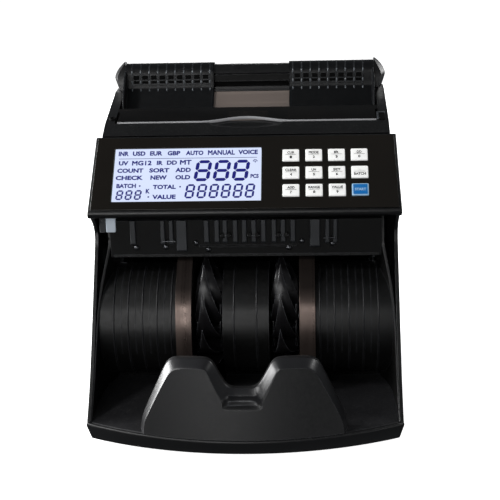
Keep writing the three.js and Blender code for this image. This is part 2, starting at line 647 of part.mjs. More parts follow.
function driveMotor() {
  return rodX(24, [-103.6, -48], MOTOR_C, 28)
    .add(rodX(8, [-105.4, -103], MOTOR_C, 20))
    .add(rodX(7, [-48.4, -43], MOTOR_C, 20))
    .add(box([-100, -56], about(MOTOR_C[0], 16), [6.3, 44])) // mounting foot
    .subtract(rodX(4, [-110, -90], MOTOR_C, 20));
}
function motorPulley() {
  const divider = rodX(MOTOR_PULLEY_R + FLANGE_H, [-115.9, -115.6], MOTOR_C, 18);
  return pulley(MOTOR_PULLEY_R, [-120.6, -109.6], MOTOR_C)
    .add(divider) // between the two belts
    .add(rodX(3.4, [-110, -92], MOTOR_C, 16));
}
// Open belt round two pulleys: two arcs joined by the outer tangents
function belt(centreA, radiusA, centreB, radiusB, xSpan) {
  const dy = centreB[0] - centreA[0];
  const dz = centreB[1] - centreA[1];
  const heading = Math.atan2(dz, dy);
  const loop = (offset) => {
    const turn = Math.acos((radiusA + offset - (radiusB + offset)) / Math.hypot(dy, dz));
    return [
      ...arc(radiusA + offset, centreA, 8, heading + turn, heading + 2 * PI - turn),
      ...arc(radiusB + offset, centreB, 8, heading - turn, heading + turn),
    ];
  };
  return alongX(loop(1.5), xSpan).subtract(alongX(loop(0.35), grow(xSpan, 1)));
}
const feedBelt = belt(MOTOR_C, MOTOR_PULLEY_R, FEED_C, FEED_PULLEY_R, [-114.4, -111]);
const stackerBelt = belt(MOTOR_C, MOTOR_PULLEY_R, WHEEL_C, STACKER_PULLEY_R, [-119.8, -117.2]);
const pickupBelt = belt(PICK_C, LINK_PULLEY_R, FEED_C, LINK_PULLEY_R, [111.4, 114.6]);
add(machine, "drive_motor", driveMotor(), ZINC);
add(machine, "motor_pulley", motorPulley(), ZINC);
add(machine, "feed_belt", feedBelt, RUBBER);
add(machine, "stacker_belt", stackerBelt, RUBBER);
add(machine, "pickup_belt", pickupBelt, RUBBER);

// ---------------------------------------------------------------- electronics and rear
function mainBoard() {
  const seat = 13.4; // components start just inside the board
  let board = box([-30, 98], [30, 112], [12, 13.6])
    .add(box([-20, 24], [62, 104], [seat, 38]))
    .add(box([40, 60], [40, 70], [seat, 22]))
    .add(box([66, 90], [80, 104], [seat, 30]))
    .add(box([-20, 10], [36, 50], [seat, 20]))
    .add(rodZ(7, [seat, 34], [34, 92]))
    .add(rodZ(5, [seat, 28], [52, 96]));
  for (const y of [35, 107]) // standoffs
    for (const x of [-25, 93]) board = board.add(rodZ(3, [6.3, 12.4], [x, y], 12));
  return board;
}
function rearCover() {
  const section = [ // (y, z)
    [123, 24.8], [126, 24.8], [126, 238], [122.6, 244.6], [121, 243.6], [123, 239.4],
  ];
  const through = [110, 140];
  let rear = alongX(section, [-119.6, 119.6])
    .subtract(box([55.6, 84.4], through, [29.6, 50.4])) // power inlet
    .subtract(box([25.6, 46.4], through, [32.8, 47.2])); // rocker switch
  for (let i = 0; i < 9; i++) // louvres
    rear = rear.subtract(box([-90 + i * 9, -86 + i * 9], through, [60, 92]));
  return rear;
}
function powerInlet() {
  let inlet = box([56, 84], [112, 125.4], [30, 50])
    .add(box([53.5, 86.5], [126.3, 127.6], [27.5, 52.5]))
    .add(box([56, 84], [125, 127], [30, 50]))
    .subtract(box([59, 81], [116, 130], [33, 47]));
  for (const x of [65, 70, 75]) // contact pins, the middle one higher
    inlet = inlet.add(box(about(x, 1), [115, 124], x === 70 ? [40.5, 45] : [36.5, 41]));
  return inlet;
}
const ROCKER = [ // (y, z)
  [117, 35], [117, 45], [124, 45.6], [128, 45], [126, 40], [125.2, 34.6], [121, 34.4],
];
add(machine, "main_circuit_board", mainBoard(), BOARD);
add(machine, "rear_cover", rearCover(), SHELL);
add(machine, "power_inlet", powerInlet(), LINER);
add(machine, "power_rocker", alongX(ROCKER, [26.4, 45.6]), GLOSS);

export default counter;
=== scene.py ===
# A desktop banknote counter: a black housing with a sloping control panel, a hopper under a
# smoked cover on top, and an open stacking bay with two bladed wheels and a stop at the front.
# Sizes are in mm in the machine's drawing frame: x runs left to right, y from front (-) to
# rear (+), z up. The stacker shaft lies along x. world() turns these into Blender's metres.
import math
import random

import bmesh
import bpy
from mathutils import Matrix, Vector

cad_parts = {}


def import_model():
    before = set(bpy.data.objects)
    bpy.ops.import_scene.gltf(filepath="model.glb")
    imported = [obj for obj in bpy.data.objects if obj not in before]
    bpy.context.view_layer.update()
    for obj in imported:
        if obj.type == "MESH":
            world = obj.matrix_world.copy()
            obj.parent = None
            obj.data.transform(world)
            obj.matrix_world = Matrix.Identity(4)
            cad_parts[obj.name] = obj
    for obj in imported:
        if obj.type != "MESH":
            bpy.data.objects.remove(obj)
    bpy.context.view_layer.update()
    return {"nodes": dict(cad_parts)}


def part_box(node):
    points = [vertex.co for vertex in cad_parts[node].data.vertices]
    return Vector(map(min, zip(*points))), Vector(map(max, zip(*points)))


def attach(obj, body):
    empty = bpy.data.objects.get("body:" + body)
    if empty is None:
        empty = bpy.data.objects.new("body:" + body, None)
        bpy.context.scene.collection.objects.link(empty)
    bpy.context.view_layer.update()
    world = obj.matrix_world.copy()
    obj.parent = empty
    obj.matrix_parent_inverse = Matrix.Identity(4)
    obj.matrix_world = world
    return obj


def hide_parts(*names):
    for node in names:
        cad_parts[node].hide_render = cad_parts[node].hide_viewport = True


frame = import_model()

NODES = frame["nodes"]
HOUSING = "housing"
random.seed(7)

X, Y, Z = 0, 1, 2
SIDES = ((-1, "left"), (1, "right"))

AXLE = (-6.0, 70.0)  # stacker shaft: y, z
WHEEL_X = 31.5       # middle of each stacker wheel, either side of x = 0
LIP_RADIUS = 283.9   # bow of the front lip, seen from above
LIP_CENTRE_Y = 150.9
CORNER_Y = -104.0    # front corners of the tray

_low, _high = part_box("stacker_shaft")
DRAWING_Y = (_low.y + _high.y) * 500.0 - AXLE[0]


def world(x, y, z):
    return Vector((x, y + DRAWING_Y, z)) * 0.001


def tilted(origin, degrees):
    """A frame moved to origin and turned about x."""
    c, s = math.cos(math.radians(degrees)), math.sin(math.radians(degrees))
    return lambda x, y, z: (x + origin[0], origin[1] + y * c - z * s, origin[2] + y * s + z * c)


PANEL = tilted((0, -37.6, 171.3), 43.9)
COVER = tilted((0, 59, 236.3), 15.0)


def deck(y):
    """Height of the gently sloping tray deck."""
    return 17 + (y - CORNER_Y) * 0.06


def lip_y(x, inset=0.0):
    return LIP_CENTRE_Y - math.sqrt((LIP_RADIUS - inset) ** 2 - x * x)


# ------------------------------------------------------------------ materials
def linear(code):
    """Linear RGB from an sRGB hex code."""
    channels = [int(code[i:i + 2], 16) / 255 for i in (1, 3, 5)]
    return [c / 12.92 if c <= 0.04045 else ((c + 0.055) / 1.055) ** 2.4 for c in channels]


class Shader:
    """A new material with an output node, object coordinates and short ways to add nodes."""

    def __init__(self, name):
        self.material = bpy.data.materials.new(name)
        self.material.use_nodes = True
        self.tree = self.material.node_tree
        self.tree.nodes.clear()
        self.output = self.node("ShaderNodeOutputMaterial")
        self.coords = self.node("ShaderNodeTexCoord").outputs["Object"]

    def node(self, kind, inputs=None, **settings):
        node = self.tree.nodes.new(kind)
        for key, value in settings.items():
            setattr(node, key, value)
        for key, value in (inputs or {}).items():
            self.feed(node.inputs[key], value)
        return node

    def feed(self, socket, value):
        """Set a socket from another socket, a number or an RGB colour."""
        if isinstance(value, bpy.types.NodeSocket):
            self.tree.links.new(value, socket)
        elif isinstance(value, (int, float)):
            socket.default_value = value
        else:
            socket.default_value = (*value, 1)

    def noise(self, scale, detail=3.0, roughness=0.55, stretch=None):
        node = self.node("ShaderNodeTexNoise",
                         {"Scale": scale, "Detail": detail, "Roughness": roughness})
        source = self.coords
        if stretch:
            mapping = self.node("ShaderNodeMapping", {"Vector": source})
            mapping.inputs["Scale"].default_value = stretch
            source = mapping.outputs["Vector"]
        self.feed(node.inputs["Vector"], source)
        return node.outputs["Fac"]

    def span(self, value, to, between=(0.3, 0.7)):
        return self.node("ShaderNodeMapRange", {
            "From Min": between[0], "From Max": between[1],
            "To Min": to[0], "To Max": to[1], "Value": value}).outputs["Result"]

    def mix(self, factor, first, second):
        return self.node("ShaderNodeMix", {6: first, 7: second, 0: factor},
                         data_type="RGBA").outputs[2]

    def math(self, operation, first, second):
        return self.node("ShaderNodeMath", {0: first, 1: second}, operation=operation).outputs[0]

    def surface(self, shader):
        self.feed(self.output.inputs["Surface"], shader.outputs[0])
        return self.material


def dusted(k, colour, amount):
    """Pale specks on faces that look up."""
    split = k.node("ShaderNodeSeparateXYZ")
    geometry = k.node("ShaderNodeNewGeometry")
    k.feed(split.inputs[0], geometry.outputs["Normal"])
    facing_up = k.span(split.outputs["Z"], to=(0, 1), between=(0.45, 1.0))
    specks = k.span(k.noise(scale=900, detail=2), to=(0, amount), between=(0.58, 0.72))
    return k.mix(k.math("MULTIPLY", facing_up, specks), colour, linear("#6a6a68"))


def paint_dark_top_reflection(k, colour, low, high, upper):
    """Painted reflection: turns towards the upper colour, a dark tone for the dark surroundings
    mirrored there, between two heights, in metres.
    """
    split = k.node("ShaderNodeSeparateXYZ", {0: k.coords})
    return k.mix(k.span(split.outputs["Z"], to=(0, 0.8), between=(low, high)),
                 colour, linear(upper))


def paint_edge_wear_and_glint(k, colour, edge_tint, amount):
    """Edges turned to another colour, found where a bevelled normal leaves the true one: rubbed
    wear on most finishes, a painted highlight on the wheel blades, the note guides and the stop's
    bevel.
    """
    bevel = k.node("ShaderNodeBevel", {"Radius": 0.0009}, samples=3)
    geometry = k.node("ShaderNodeNewGeometry")
    dot = k.node("ShaderNodeVectorMath", {0: bevel.outputs[0], 1: geometry.outputs["Normal"]},
                 operation="DOT_PRODUCT")
    edge = k.span(dot.outputs["Value"], to=(1, 0), between=(0.86, 0.995))
    edge = k.math("MULTIPLY", edge, k.span(k.noise(scale=180, detail=4), to=(0.25, 1.0)))
    edge = k.math("MULTIPLY", edge, amount)
    return k.mix(edge, colour, linear(edge_tint))


def finish(name, colour, *, rough, rough_spread=0.07, metal=0.0, specular=0.5, coat=0.0,
           mottle=0.18, grain=0.25, grain_scale=1500, brushed=None, tint=None, dust=0.0,
           dark_top_reflection=None, edge_wear_and_glint=None, glow=None):
    """A moulded, rubber or metal finish with mottled colour, uneven roughness and fine grain.

    brushed: stretch of the streaks along x, y, z; tint: second colour in broad patches;
    dark top reflection: low and high in metres, and the dark colour painted above them as a
    reflection; edge wear and glint: edge colour, amount, rubbed wear on some finishes and a
    painted highlight on others; glow: colour, strength.
    """
    k = Shader(name)
    skin = k.node("ShaderNodeBsdfPrincipled")
    base = linear(colour)
    dark = [c * (1 - mottle) for c in base]
    light = [min(1, c * (1 + mottle) + 0.0006) for c in base]
    broad = k.noise(scale=24, detail=4)
    fine = k.noise(scale=340, detail=5, roughness=0.62)
    shade = k.mix(k.span(broad, to=(0, 1)), dark, light)
    if tint:
        shade = k.mix(k.span(k.noise(scale=60), to=(0, 0.55)), shade, linear(tint))
    if dust:
        shade = dusted(k, shade, dust)
    # Painted reflection: the upper part turns to a dark tone.
    if dark_top_reflection:
        shade = paint_dark_top_reflection(k, shade, *dark_top_reflection)
    roughness = k.span(fine, to=(rough - rough_spread, rough + rough_spread))
    # Edges: rubbed wear, and a painted highlight on some finishes.
    if edge_wear_and_glint:
        shade = paint_edge_wear_and_glint(k, shade, *edge_wear_and_glint)
    if brushed:
        height = k.noise(scale=1.0, roughness=0.6, stretch=brushed)
        roughness = k.math("ADD", roughness, k.span(height, to=(-0.07, 0.09)))
    else:
        height = k.noise(scale=grain_scale, detail=2, roughness=0.6)
    bump = k.node("ShaderNodeBump", {"Strength": grain, "Distance": 0.00006, "Height": height})
    for key, value in {
            "Base Color": shade, "Roughness": roughness, "Metallic": metal,
            "Specular IOR Level": specular, "Coat Weight": coat, "Coat Roughness": 0.06,
            "Normal": bump.outputs["Normal"]}.items():
        k.feed(skin.inputs[key], value)
    if glow:
        glow_colour, power = glow
        k.feed(skin.inputs["Emission Color"], linear(glow_colour))
        k.feed(skin.inputs["Emission Strength"], k.span(broad, to=(power * 0.97, power * 1.03)))
    return k.surface(skin)


def smoked(name):
    """Tinted acrylic: part of what lies behind shows through, with a polished skin over it."""
    k = Shader(name)
    skin = k.node("ShaderNodeBsdfPrincipled")
    k.feed(skin.inputs["Base Color"],
           k.mix(k.span(k.noise(scale=30), to=(0, 1)), linear("#0b0a0a"), linear("#12100f")))
    k.feed(skin.inputs["Roughness"],
           k.span(k.noise(scale=420, detail=5, roughness=0.6), to=(0.05, 0.13)))
    bump = k.node("ShaderNodeBump", {"Strength": 0.05, "Distance": 0.00005})
    k.feed(bump.inputs["Height"], k.noise(scale=160))
    k.feed(skin.inputs["Normal"], bump.outputs["Normal"])
    clear = k.node("ShaderNodeBsdfTransparent", {"Color": (0.42, 0.38, 0.36)})
    both = k.node("ShaderNodeMixShader")
    k.feed(both.inputs[0], k.span(k.noise(scale=18, detail=2), to=(0.60, 0.66)))
    k.feed(both.inputs[1], clear.outputs[0])
    k.feed(both.inputs[2], skin.outputs[0])
    return k.surface(both)


SHELL = finish("shell_black_moulded", "#09090a", rough=0.34, grain=0.12,
               edge_wear_and_glint=("#34353a", 0.35), dust=0.25)
SHELL_BASE = finish("shell_black_base", "#0c0c0d", rough=0.42, grain=0.15,
                    edge_wear_and_glint=("#303136", 0.4), dust=0.3)
# Painted shade: the liner's black is darker than the shell's, standing in for the shade under the
# panel's overhang.
LINER = finish("liner_black_satin", "#060606", rough=0.40, grain=0.12,
               edge_wear_and_glint=("#46474c", 0.5), dust=0.1, specular=0.38)
WALL = finish("outlet_wall_matt_black", "#050505", rough=0.52, grain=0.12, rough_spread=0.05,
              specular=0.22, edge_wear_and_glint=("#5a5b5e", 0.5))
# Painted light: the outlet ribs are a lighter grey than the wall they stand on, standing in for
# the light that catches them.
RIB_PAINTED_LIGHT = finish("outlet_rib_painted_light_grey", "#2f3134", rough=0.45, grain=0.15, edge_wear_and_glint=("#4a4c50", 0.4))
# Painted shade: a near-black, barely reflective finish for sheets and patches that stand in for
# shade and dark openings, also used on the cover stops.
SHADE_BLACK = finish("painted_shade_black", "#030303", rough=0.8, grain=0.3, specular=0.12)
OVERLAY = finish("overlay_gloss_black", "#15110c", rough=0.10, grain=0.03, grain_scale=300,
                 mottle=0.08, rough_spread=0.03, coat=0.3)
STOP = finish("stop_black_textured", "#131314", rough=0.46, grain=0.28, grain_scale=1100,
              edge_wear_and_glint=("#6a6b70", 0.35), dust=0.15)
# Painted highlight on top of a real polish: the bevel is a lighter grey than the face and has pale
# edges, standing in for its lit faces and bright ridge lines.
STOP_RIM = finish("stop_polished_bevel_painted_highlight", "#1c1c1e", rough=0.34, grain=0.04,
                  rough_spread=0.03, edge_wear_and_glint=("#8a8b90", 0.4))
# Painted highlight: the guides' pale edges and the ribs' grey lugs with paler edges stand in for
# the glints where the ribs bend.
GUIDE = finish("guide_black_ribbed", "#090a0c", rough=0.40, grain=0.15, specular=0.3,
               edge_wear_and_glint=("#5a6066", 0.35))
GUIDE_RIB_GLINT = finish("guide_rib_painted_glint", "#5a5e62", rough=0.3, grain=0.2, edge_wear_and_glint=("#a3a8ae", 0.7))
# Painted light: the bay floor is a lighter grey than the liner it belongs to, standing in for
# light falling on it.
BAY_FLOOR_PAINTED_LIGHT = finish("bay_floor_painted_light", "#1c1c1e", rough=0.46, grain=0.3, mottle=0.25,
               rough_spread=0.09, edge_wear_and_glint=("#3c3d42", 0.4), dust=0.25)
BOLT = finish("screw_dark_nickel", "#5b5c5f", rough=0.32, metal=1.0, grain=0.1, mottle=0.2)
SMOKED = smoked("smoked_acrylic_sheet")
# Painted highlight: the cover's front edge is pale grey and glows faintly, standing in for light
# caught in the polished acrylic edge.
ACRYLIC_EDGE_HIGHLIGHT = finish("acrylic_edge_painted_highlight", "#8d8d8f", rough=0.22, grain=0.1, mottle=0.25,
                      glow=("#a9a9ac", 0.16))
# Painted reflection: the brown tint stands in for a brown surround mirrored in the strips, and
# their upper part is painted dark as a reflection of dark surroundings.
STRIP_STEEL_PAINTED_REFLECTION = finish("steel_brushed_painted_reflection", "#6a5d57", rough=0.33, metal=0.8, grain=0.04,
               dark_top_reflection=(0.096, 0.108, "#1c1816"), mottle=0.05, rough_spread=0.03,
               brushed=(500, 6, 6))
PLATE = finish("hopper_steel_brushed", "#a5978f", rough=0.38, metal=0.7, grain=0.05,
               mottle=0.05, rough_spread=0.04, brushed=(6, 400, 400))
ZINC = finish("steel_zinc_plated", "#8b8d90", rough=0.34, metal=1.0, grain=0.2, mottle=0.25,
              tint="#9aa0a8")
finish("screw_nickel", "#b9babd", rough=0.20, metal=1.0, grain=0.1, mottle=0.2)  # spare
RUBBER = finish("rubber_black_matt", "#141414", rough=0.82, grain=0.8, grain_scale=700,
                mottle=0.3, rough_spread=0.1, specular=0.3, dust=0.5)
# Painted highlight: the blades' pale bluish edges stand in for glints on them.
WHEEL = finish("wheel_dark_glossy", "#161517", rough=0.30, grain=0.04, mottle=0.15,
               rough_spread=0.04, edge_wear_and_glint=("#b9bcc4", 0.42))
# Painted light: the white keys glow faintly though no lamp is in them, to look brighter.
KEY_WHITE = finish("key_white_moulded", "#fafaf7", rough=0.36, grain=0.2, mottle=0.02,
                   edge_wear_and_glint=("#ffffff", 0.3), glow=("#ffffff", 0.26))
KEY_BLUE = finish("key_blue_moulded", "#1377c4", rough=0.32, grain=0.3, mottle=0.06)
KEY_RIM = finish("key_pale_blue_rim", "#a9cfee", rough=0.35, grain=0.2, mottle=0.05)
INK = finish("legend_ink_dark", "#2c2b2e", rough=0.5, grain=0.2, mottle=0.15)
INK_PALE = finish("legend_ink_pale", "#a9d2f2", rough=0.5, grain=0.2, mottle=0.08)
BOARD = finish("circuit_board_green", "#14502a", rough=0.38, grain=0.3, mottle=0.3,
               tint="#0d3a1e")
LCD = finish("lcd_backlit_face", "#3a3c52", rough=0.22, grain=0.05, mottle=0.03,
             glow=("#dbe6ff", 0.95), coat=0.1)
LCD_INK = finish("lcd_segment_blue", "#161868", rough=0.5, grain=0.05, mottle=0.08,
                 glow=("#272a92", 0.25), specular=0.2)
# Painted light: the milky lens glows faintly though no lamp is behind it, standing in for light
# through the plastic.
LENS = finish("sensor_lens_milky", "#c3ccd6", rough=0.25, grain=0.08, mottle=0.12, coat=0.3,
              glow=("#c8d4e0", 0.16))
finish("marking_white_print", "#c9c9c6", rough=0.5, grain=0.2, mottle=0.1)  # spare


# ------------------------------------------------------------------ outlines
def chaikin(points, rounds=2, closed=False):
    """Smooths a line by cutting its corners at the quarter points."""
    for _ in range(rounds):
        cut = [] if closed else [points[0]]
        count = len(points)
        for i in range(count if closed else count - 1):
            a, b = points[i], points[(i + 1) % count]
            cut += [tuple(p + (q - p) * share for p, q in zip(a, b)) for share in (0.25, 0.75)]
        if not closed:
            cut.append(points[-1])
        points = cut
    return points


def band(path, right_offset, left_offset=None):
    """Outline of a sheet that follows an open path, offset to both sides of it."""
    if left_offset is None:
        left_offset = right_offset
    left, right = [], []
    for i, p in enumerate(path):
        a, b = path[max(i - 1, 0)], path[min(i + 1, len(path) - 1)]
        dx, dy = b[0] - a[0], b[1] - a[1]
        length = math.hypot(dx, dy)
        nx, ny = -dy / length, dx / length
        left.append((p[0] + nx * left_offset, p[1] + ny * left_offset))
        right.append((p[0] - nx * right_offset, p[1] - ny * right_offset))
    return left + right[::-1]


def arc(radius, centre, start, end, steps):
    """Points on an arc between two angles in degrees, ends included."""
    angles = [math.radians(start + (end - start) * i / steps) for i in range(steps + 1)]
    return [(centre[0] + radius * math.cos(a), centre[1] + radius * math.sin(a)) for a in angles]


def rectangle(x0, x1, y0, y1):
    return [(x0, y0), (x1, y0), (x1, y1), (x0, y1)]


def rounded(x0, x1, y0, y1, r):
    """A rectangle with rounded corners."""
    corners = ((x1 - r, y1 - r, 0), (x0 + r, y1 - r, 90), (x0 + r, y0 + r, 180),
               (x1 - r, y0 + r, 270))
    return [p for x, y, start in corners for p in arc(r, (x, y), start, start + 90, 4)]


def interpolate(table, at, beyond=0.0):
    """Reads a table of (position, value) rows; beyond is the value outside it."""
    for (start, first), (end, second) in zip(table, table[1:]):
        if start <= at <= end:
            return first + (second - first) * (at - start) / (end - start)
    return beyond


# ------------------------------------------------------------------ meshes
def lifted(axis, place, pair):
    """A 3D point from a place on one axis and the other two coordinates in order."""
    return (*pair[:axis], place, *pair[axis:])


class Shape:
    """Vertices, faces and a material index for each face."""

    def __init__(self):
        self.vertices, self.faces, self.mats = [], [], []

    def add(self, vertices, faces, mat=0):
        first = len(self.vertices)
        self.vertices += [tuple(p) for p in vertices]
        for face in faces:
            self.face([i + first for i in face], mat)

    def face(self, indices, mat=0):
        self.faces.append(tuple(indices))
        self.mats.append(mat)

    def loft(self, rings, mat=0, cap_first=True, cap_last=True, wrap=False):
        """Joins rings of equal length; wrap joins the last to the first."""
        n, count = len(rings[0]), len(rings)
        faces = []
        for a in range(count if wrap else count - 1):
            b = (a + 1) % count
            for i in range(n):
                j = (i + 1) % n
                faces.append((a * n + i, a * n + j, b * n + j, b * n + i))
        if cap_first and not wrap:
            faces.append(range(n - 1, -1, -1))
        if cap_last and not wrap:
            faces.append(range((count - 1) * n, count * n))
        self.add([p for ring in rings for p in ring], faces, mat)

    def prism(self, axis, outline, start, end, mat=0):
        self.loft([[lifted(axis, place, p) for p in outline] for place in (start, end)], mat)

    def box(self, x0, x1, y0, y1, z0, z1, mat=0):
        self.prism(X, rectangle(y0, y1, z0, z1), x0, x1, mat)

    def lathe(self, axis, profile, centre, segments, mat=0, wrap=False):
        """profile: (place on the axis, radius) from end to end."""
        turns = [2 * math.pi * i / segments for i in range(segments)]
        self.loft([[lifted(axis, place, (centre[0] + r * math.cos(a), centre[1] + r * math.sin(a)))
                    for a in turns] for place, r in profile], mat, wrap=wrap)


def weld(mesh, merge, dissolve):
    bm = bmesh.new()
    bm.from_mesh(mesh)
    bmesh.ops.remove_doubles(bm, verts=bm.verts, dist=merge)
    bmesh.ops.dissolve_degenerate(bm, edges=bm.edges, dist=dissolve)
    bm.to_mesh(mesh)
    bm.free()


def shade(mesh, sharp_angle):
    """Turns faces outwards and smooths them; edges past sharp_angle, if given, stay sharp."""
    bm = bmesh.new()
    bm.from_mesh(mesh)
    bmesh.ops.recalc_face_normals(bm, faces=bm.faces)
    for face in bm.faces:
        face.smooth = True
    if sharp_angle is not None:
        limit = math.radians(sharp_angle)
        for edge in bm.edges:
            if len(edge.link_faces) == 2:
                edge.smooth = edge.calc_face_angle(0) < limit
    bm.to_mesh(mesh)
    bm.free()


def round_edges(thing, width, segments, angle):
    bevel = thing.modifiers.new("edge", "BEVEL")
    bevel.width = width * 0.001
    bevel.segments = segments
    bevel.limit_method = "ANGLE"
    bevel.angle_limit = math.radians(angle)
    bevel.use_clamp_overlap = True
    thing.modifiers.new("normals", "WEIGHTED_NORMAL").keep_sharp = True
    return bevel


def piece(name, shape, materials, body=HOUSING, stands_for=None, bevel=None,
          bevel_angle=32.0, smooth=36.0, place=None, welded=False):
    """Makes an object from a shape; stands_for is the CAD node it replaces."""
    mesh = bpy.data.meshes.new(name)
    points = [world(*(place(*p) if place else p)) for p in shape.vertices]
    mesh.from_pydata(points, [], shape.faces)
    for material in materials:
        mesh.materials.append(material)
    for polygon, mat in zip(mesh.polygons, shape.mats):
        polygon.material_index = mat
    mesh.update()
    if welded:
        weld(mesh, merge=2e-7, dissolve=1e-7)
    shade(mesh, None if bevel else smooth)
    thing = bpy.data.objects.new(name, mesh)
    bpy.context.scene.collection.objects.link(thing)
    if bevel:
        round_edges(thing, bevel, 2, bevel_angle).miter_outer = "MITER_ARC"
    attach(thing, body)
    if stands_for:
        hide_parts(stands_for)


def dress(node, material, bevel=0.5, segments=2):
    """A CAD node that stays: its facets are joined, its edges rounded, and it gets a finish."""
    thing = NODES[node]
    thing.data.materials.clear()
    thing.data.materials.append(material)
    for polygon in thing.data.polygons:
        polygon.use_smooth = True
        polygon.material_index = 0
    thing.modifiers.new("weld", "WELD").merge_threshold = 2e-6
    flats = thing.modifiers.new("flats", "DECIMATE")
    flats.decimate_type = "DISSOLVE"
    flats.angle_limit = math.radians(1.0)
    round_edges(thing, bevel, segments, angle=25.0)


# ------------------------------------------------------------------ lettering
def words(shape, text, x, y, z, height, depth, width, mat=0, bold=0.044):
    """Lettering as thin closed solids centred on (x, y)."""
    # The font's M can't be thickened, so words with an M are laid four times, a hair apart.
    has_m = "M" in text
    curve = bpy.data.curves.new("lettering", "FONT")
    curve.body = text
    curve.size = 1.0
    curve.extrude = 0.5
    curve.offset = 0.0 if has_m else bold
    curve.resolution_u = 3
    thing = bpy.data.objects.new("lettering", curve)
    bpy.context.scene.collection.objects.link(thing)
    graph = bpy.context.evaluated_depsgraph_get()
    mesh = bpy.data.meshes.new_from_object(thing.evaluated_get(graph))
    weld(mesh, merge=1e-4, dissolve=1e-5)
    xs = [v.co.x for v in mesh.vertices]
    ys = [v.co.y for v in mesh.vertices]
    scale_x = width / (max(xs) - min(xs))
    scale_y = height / (max(ys) - min(ys))
    middle_x, middle_y = (max(xs) + min(xs)) / 2, (max(ys) + min(ys)) / 2
    b = bold * 0.72
    shifts = ((-b, -b), (b, -b), (-b, b), (b, b)) if has_m else ((0.0, 0.0),)
    for layer, (dx, dy) in enumerate(shifts):
        shape.add([(x + (v.co.x + dx - middle_x) * scale_x,
                    y + (v.co.y + dy - middle_y) * scale_y,
                    z + v.co.z * depth + 0.006 * layer) for v in mesh.vertices],
                  [tuple(p.vertices) for p in mesh.polygons], mat)
    bpy.data.objects.remove(thing)
    bpy.data.curves.remove(curve)
    bpy.data.meshes.remove(mesh)


INK_BOTTOM, INK_MIDDLE, INK_TOP = 0.69, 0.74, 0.79  # heights of the display marks
FIGURE_SLANT = 0.13


def segment(shape, start, end, left, low, height, thickness):
    """One six-sided bar of a figure whose lower left corner is (left, low)."""
    half, gap = thickness / 2, thickness * 0.12
    dx, dy = end[0] - start[0], end[1] - start[1]
    length = math.hypot(dx, dy)
    ux, uy = dx / length, dy / length
    inset = half + gap
    outline = []
    for (px, py), along, across in ((start, gap, 0), (start, inset, half), (end, -inset, half),
                                    (end, -gap, 0), (end, -inset, -half), (start, inset, -half)):
        bar_x = px + ux * along - uy * across
        bar_y = py + uy * along + ux * across
        outline.append((left + bar_x + (bar_y - height / 2) * FIGURE_SLANT, low + bar_y))
    shape.prism(Z, outline, INK_BOTTOM, INK_TOP)


def figures(shape, count, lower_left, upper_right, thickness, gap):
    """A row of seven-segment figures, every segment on; gap is a share of the pitch."""
    (x0, y0), (x1, y1) = lower_left, upper_right
    pitch = (x1 - x0) / (count - gap)
    height = y1 - y0
    half = thickness / 2
    left, right = half, pitch * (1 - gap) - half
    low, middle, high = half, height / 2, height - half
    bars = [((left, level), (right, level)) for level in (high, middle, low)]
    bars += [((side, a), (side, b)) for side in (left, right)
             for a, b in ((low, middle), (middle, high))]
    for k in range(count):
        for start, end in bars:
            segment(shape, start, end, x0 + k * pitch, y0, height, thickness)


# ------------------------------------------------------------------ control panel
LCD_X = (-107.2, 13.6)
LCD_Y = (9.6, 60.3)
LCD_HEIGHT = LCD_Y[1] - LCD_Y[0]
LCD_WORD_SCALE = 119.2  # mm for a word width of 1

# text, then its middle across and down the window, its width and its height, as shares
LCD_WORDS = (
    ("INR", .058, .09, .07, .086), ("USD", .164, .09, .088, .086), ("EUR", .281, .09, .086, .086),
    ("GBP", .403, .09, .088, .086), ("AUTO", .545, .09, .122, .086),
    ("MANUAL", .728, .088, .184, .086), ("VOICE", .910, .086, .135, .086),
    ("UV", .062, .275, .066, .082), ("MG12", .187, .275, .132, .082),
    ("IR", .31, .275, .042, .082), ("DD", .393, .273, .07, .082), ("MT", .487, .27, .076, .082),
    ("COUNT", .112, .418, .180, .082), ("SORT", .310, .418, .138, .082),
    ("ADD", .472, .416, .106, .082), ("CHECK", .109, .556, .188, .082),
    ("NEW", .308, .556, .112, .082), ("OLD", .472, .556, .102, .082),
    ("BATCH", .092, .708, .134, .08), ("TOTAL", .351, .735, .158, .082),
    ("VALUE", .352, .922, .16, .082), ("K", .241, .812, .028, .085),
    ("PCS", .957, .548, .056, .075),
)
# count, lower left and upper right as shares across and down, bar thickness, gap
LCD_FIGURES = (
    (3, (.553, .635), (.918, .235), 2.9, 0.17),
    (6, (.494, .955), (.958, .69), 1.72, 0.24),
    (3, (.028, .972), (.198, .79), 1.36, 0.26),
)
KEY_X = (37.9, 56.6, 75.2, 93.7)
KEY_Y = (52, 35.1, 18.3)
KEY_HALF_WIDTH, KEY_HALF_DEPTH = 6.8, 5.7
# corner radius before scaling, inset, height
KEY_PROFILE = ((1.6, 0.0, -1.6), (1.6, 0.0, 0.95), (1.45, 0.12, 1.25), (1.2, 0.42, 1.52),
               (1.0, 0.85, 1.6))
KEY_CORNER_SCALE = 0.62
# upper and lower legend of each white key, row by row from the rear; "-" is a dash
LEGENDS = (("CUR", "1"), ("MODE", "2"), ("IR", "3"), ("DD", "0"),
           ("CLEAR", "4"), ("UV", "5"), ("SET", "6"), ("-", "BATCH"),
           ("ADD", "7"), ("RANGE", "8"), ("VALUE", "9"))


def on_lcd(across, down):
    """Panel position from shares of the window, measured from its upper left corner."""
    return LCD_X[0] + (LCD_X[1] - LCD_X[0]) * across, LCD_Y[1] - LCD_HEIGHT * down


def display_window():
    shape = Shape()
    shape.prism(Z, rounded(*LCD_X, *LCD_Y, 0.5), -4.0, 0.7)
    piece("display_window", shape, [LCD], stands_for="lcd_module", bevel=0.2,
          place=PANEL)


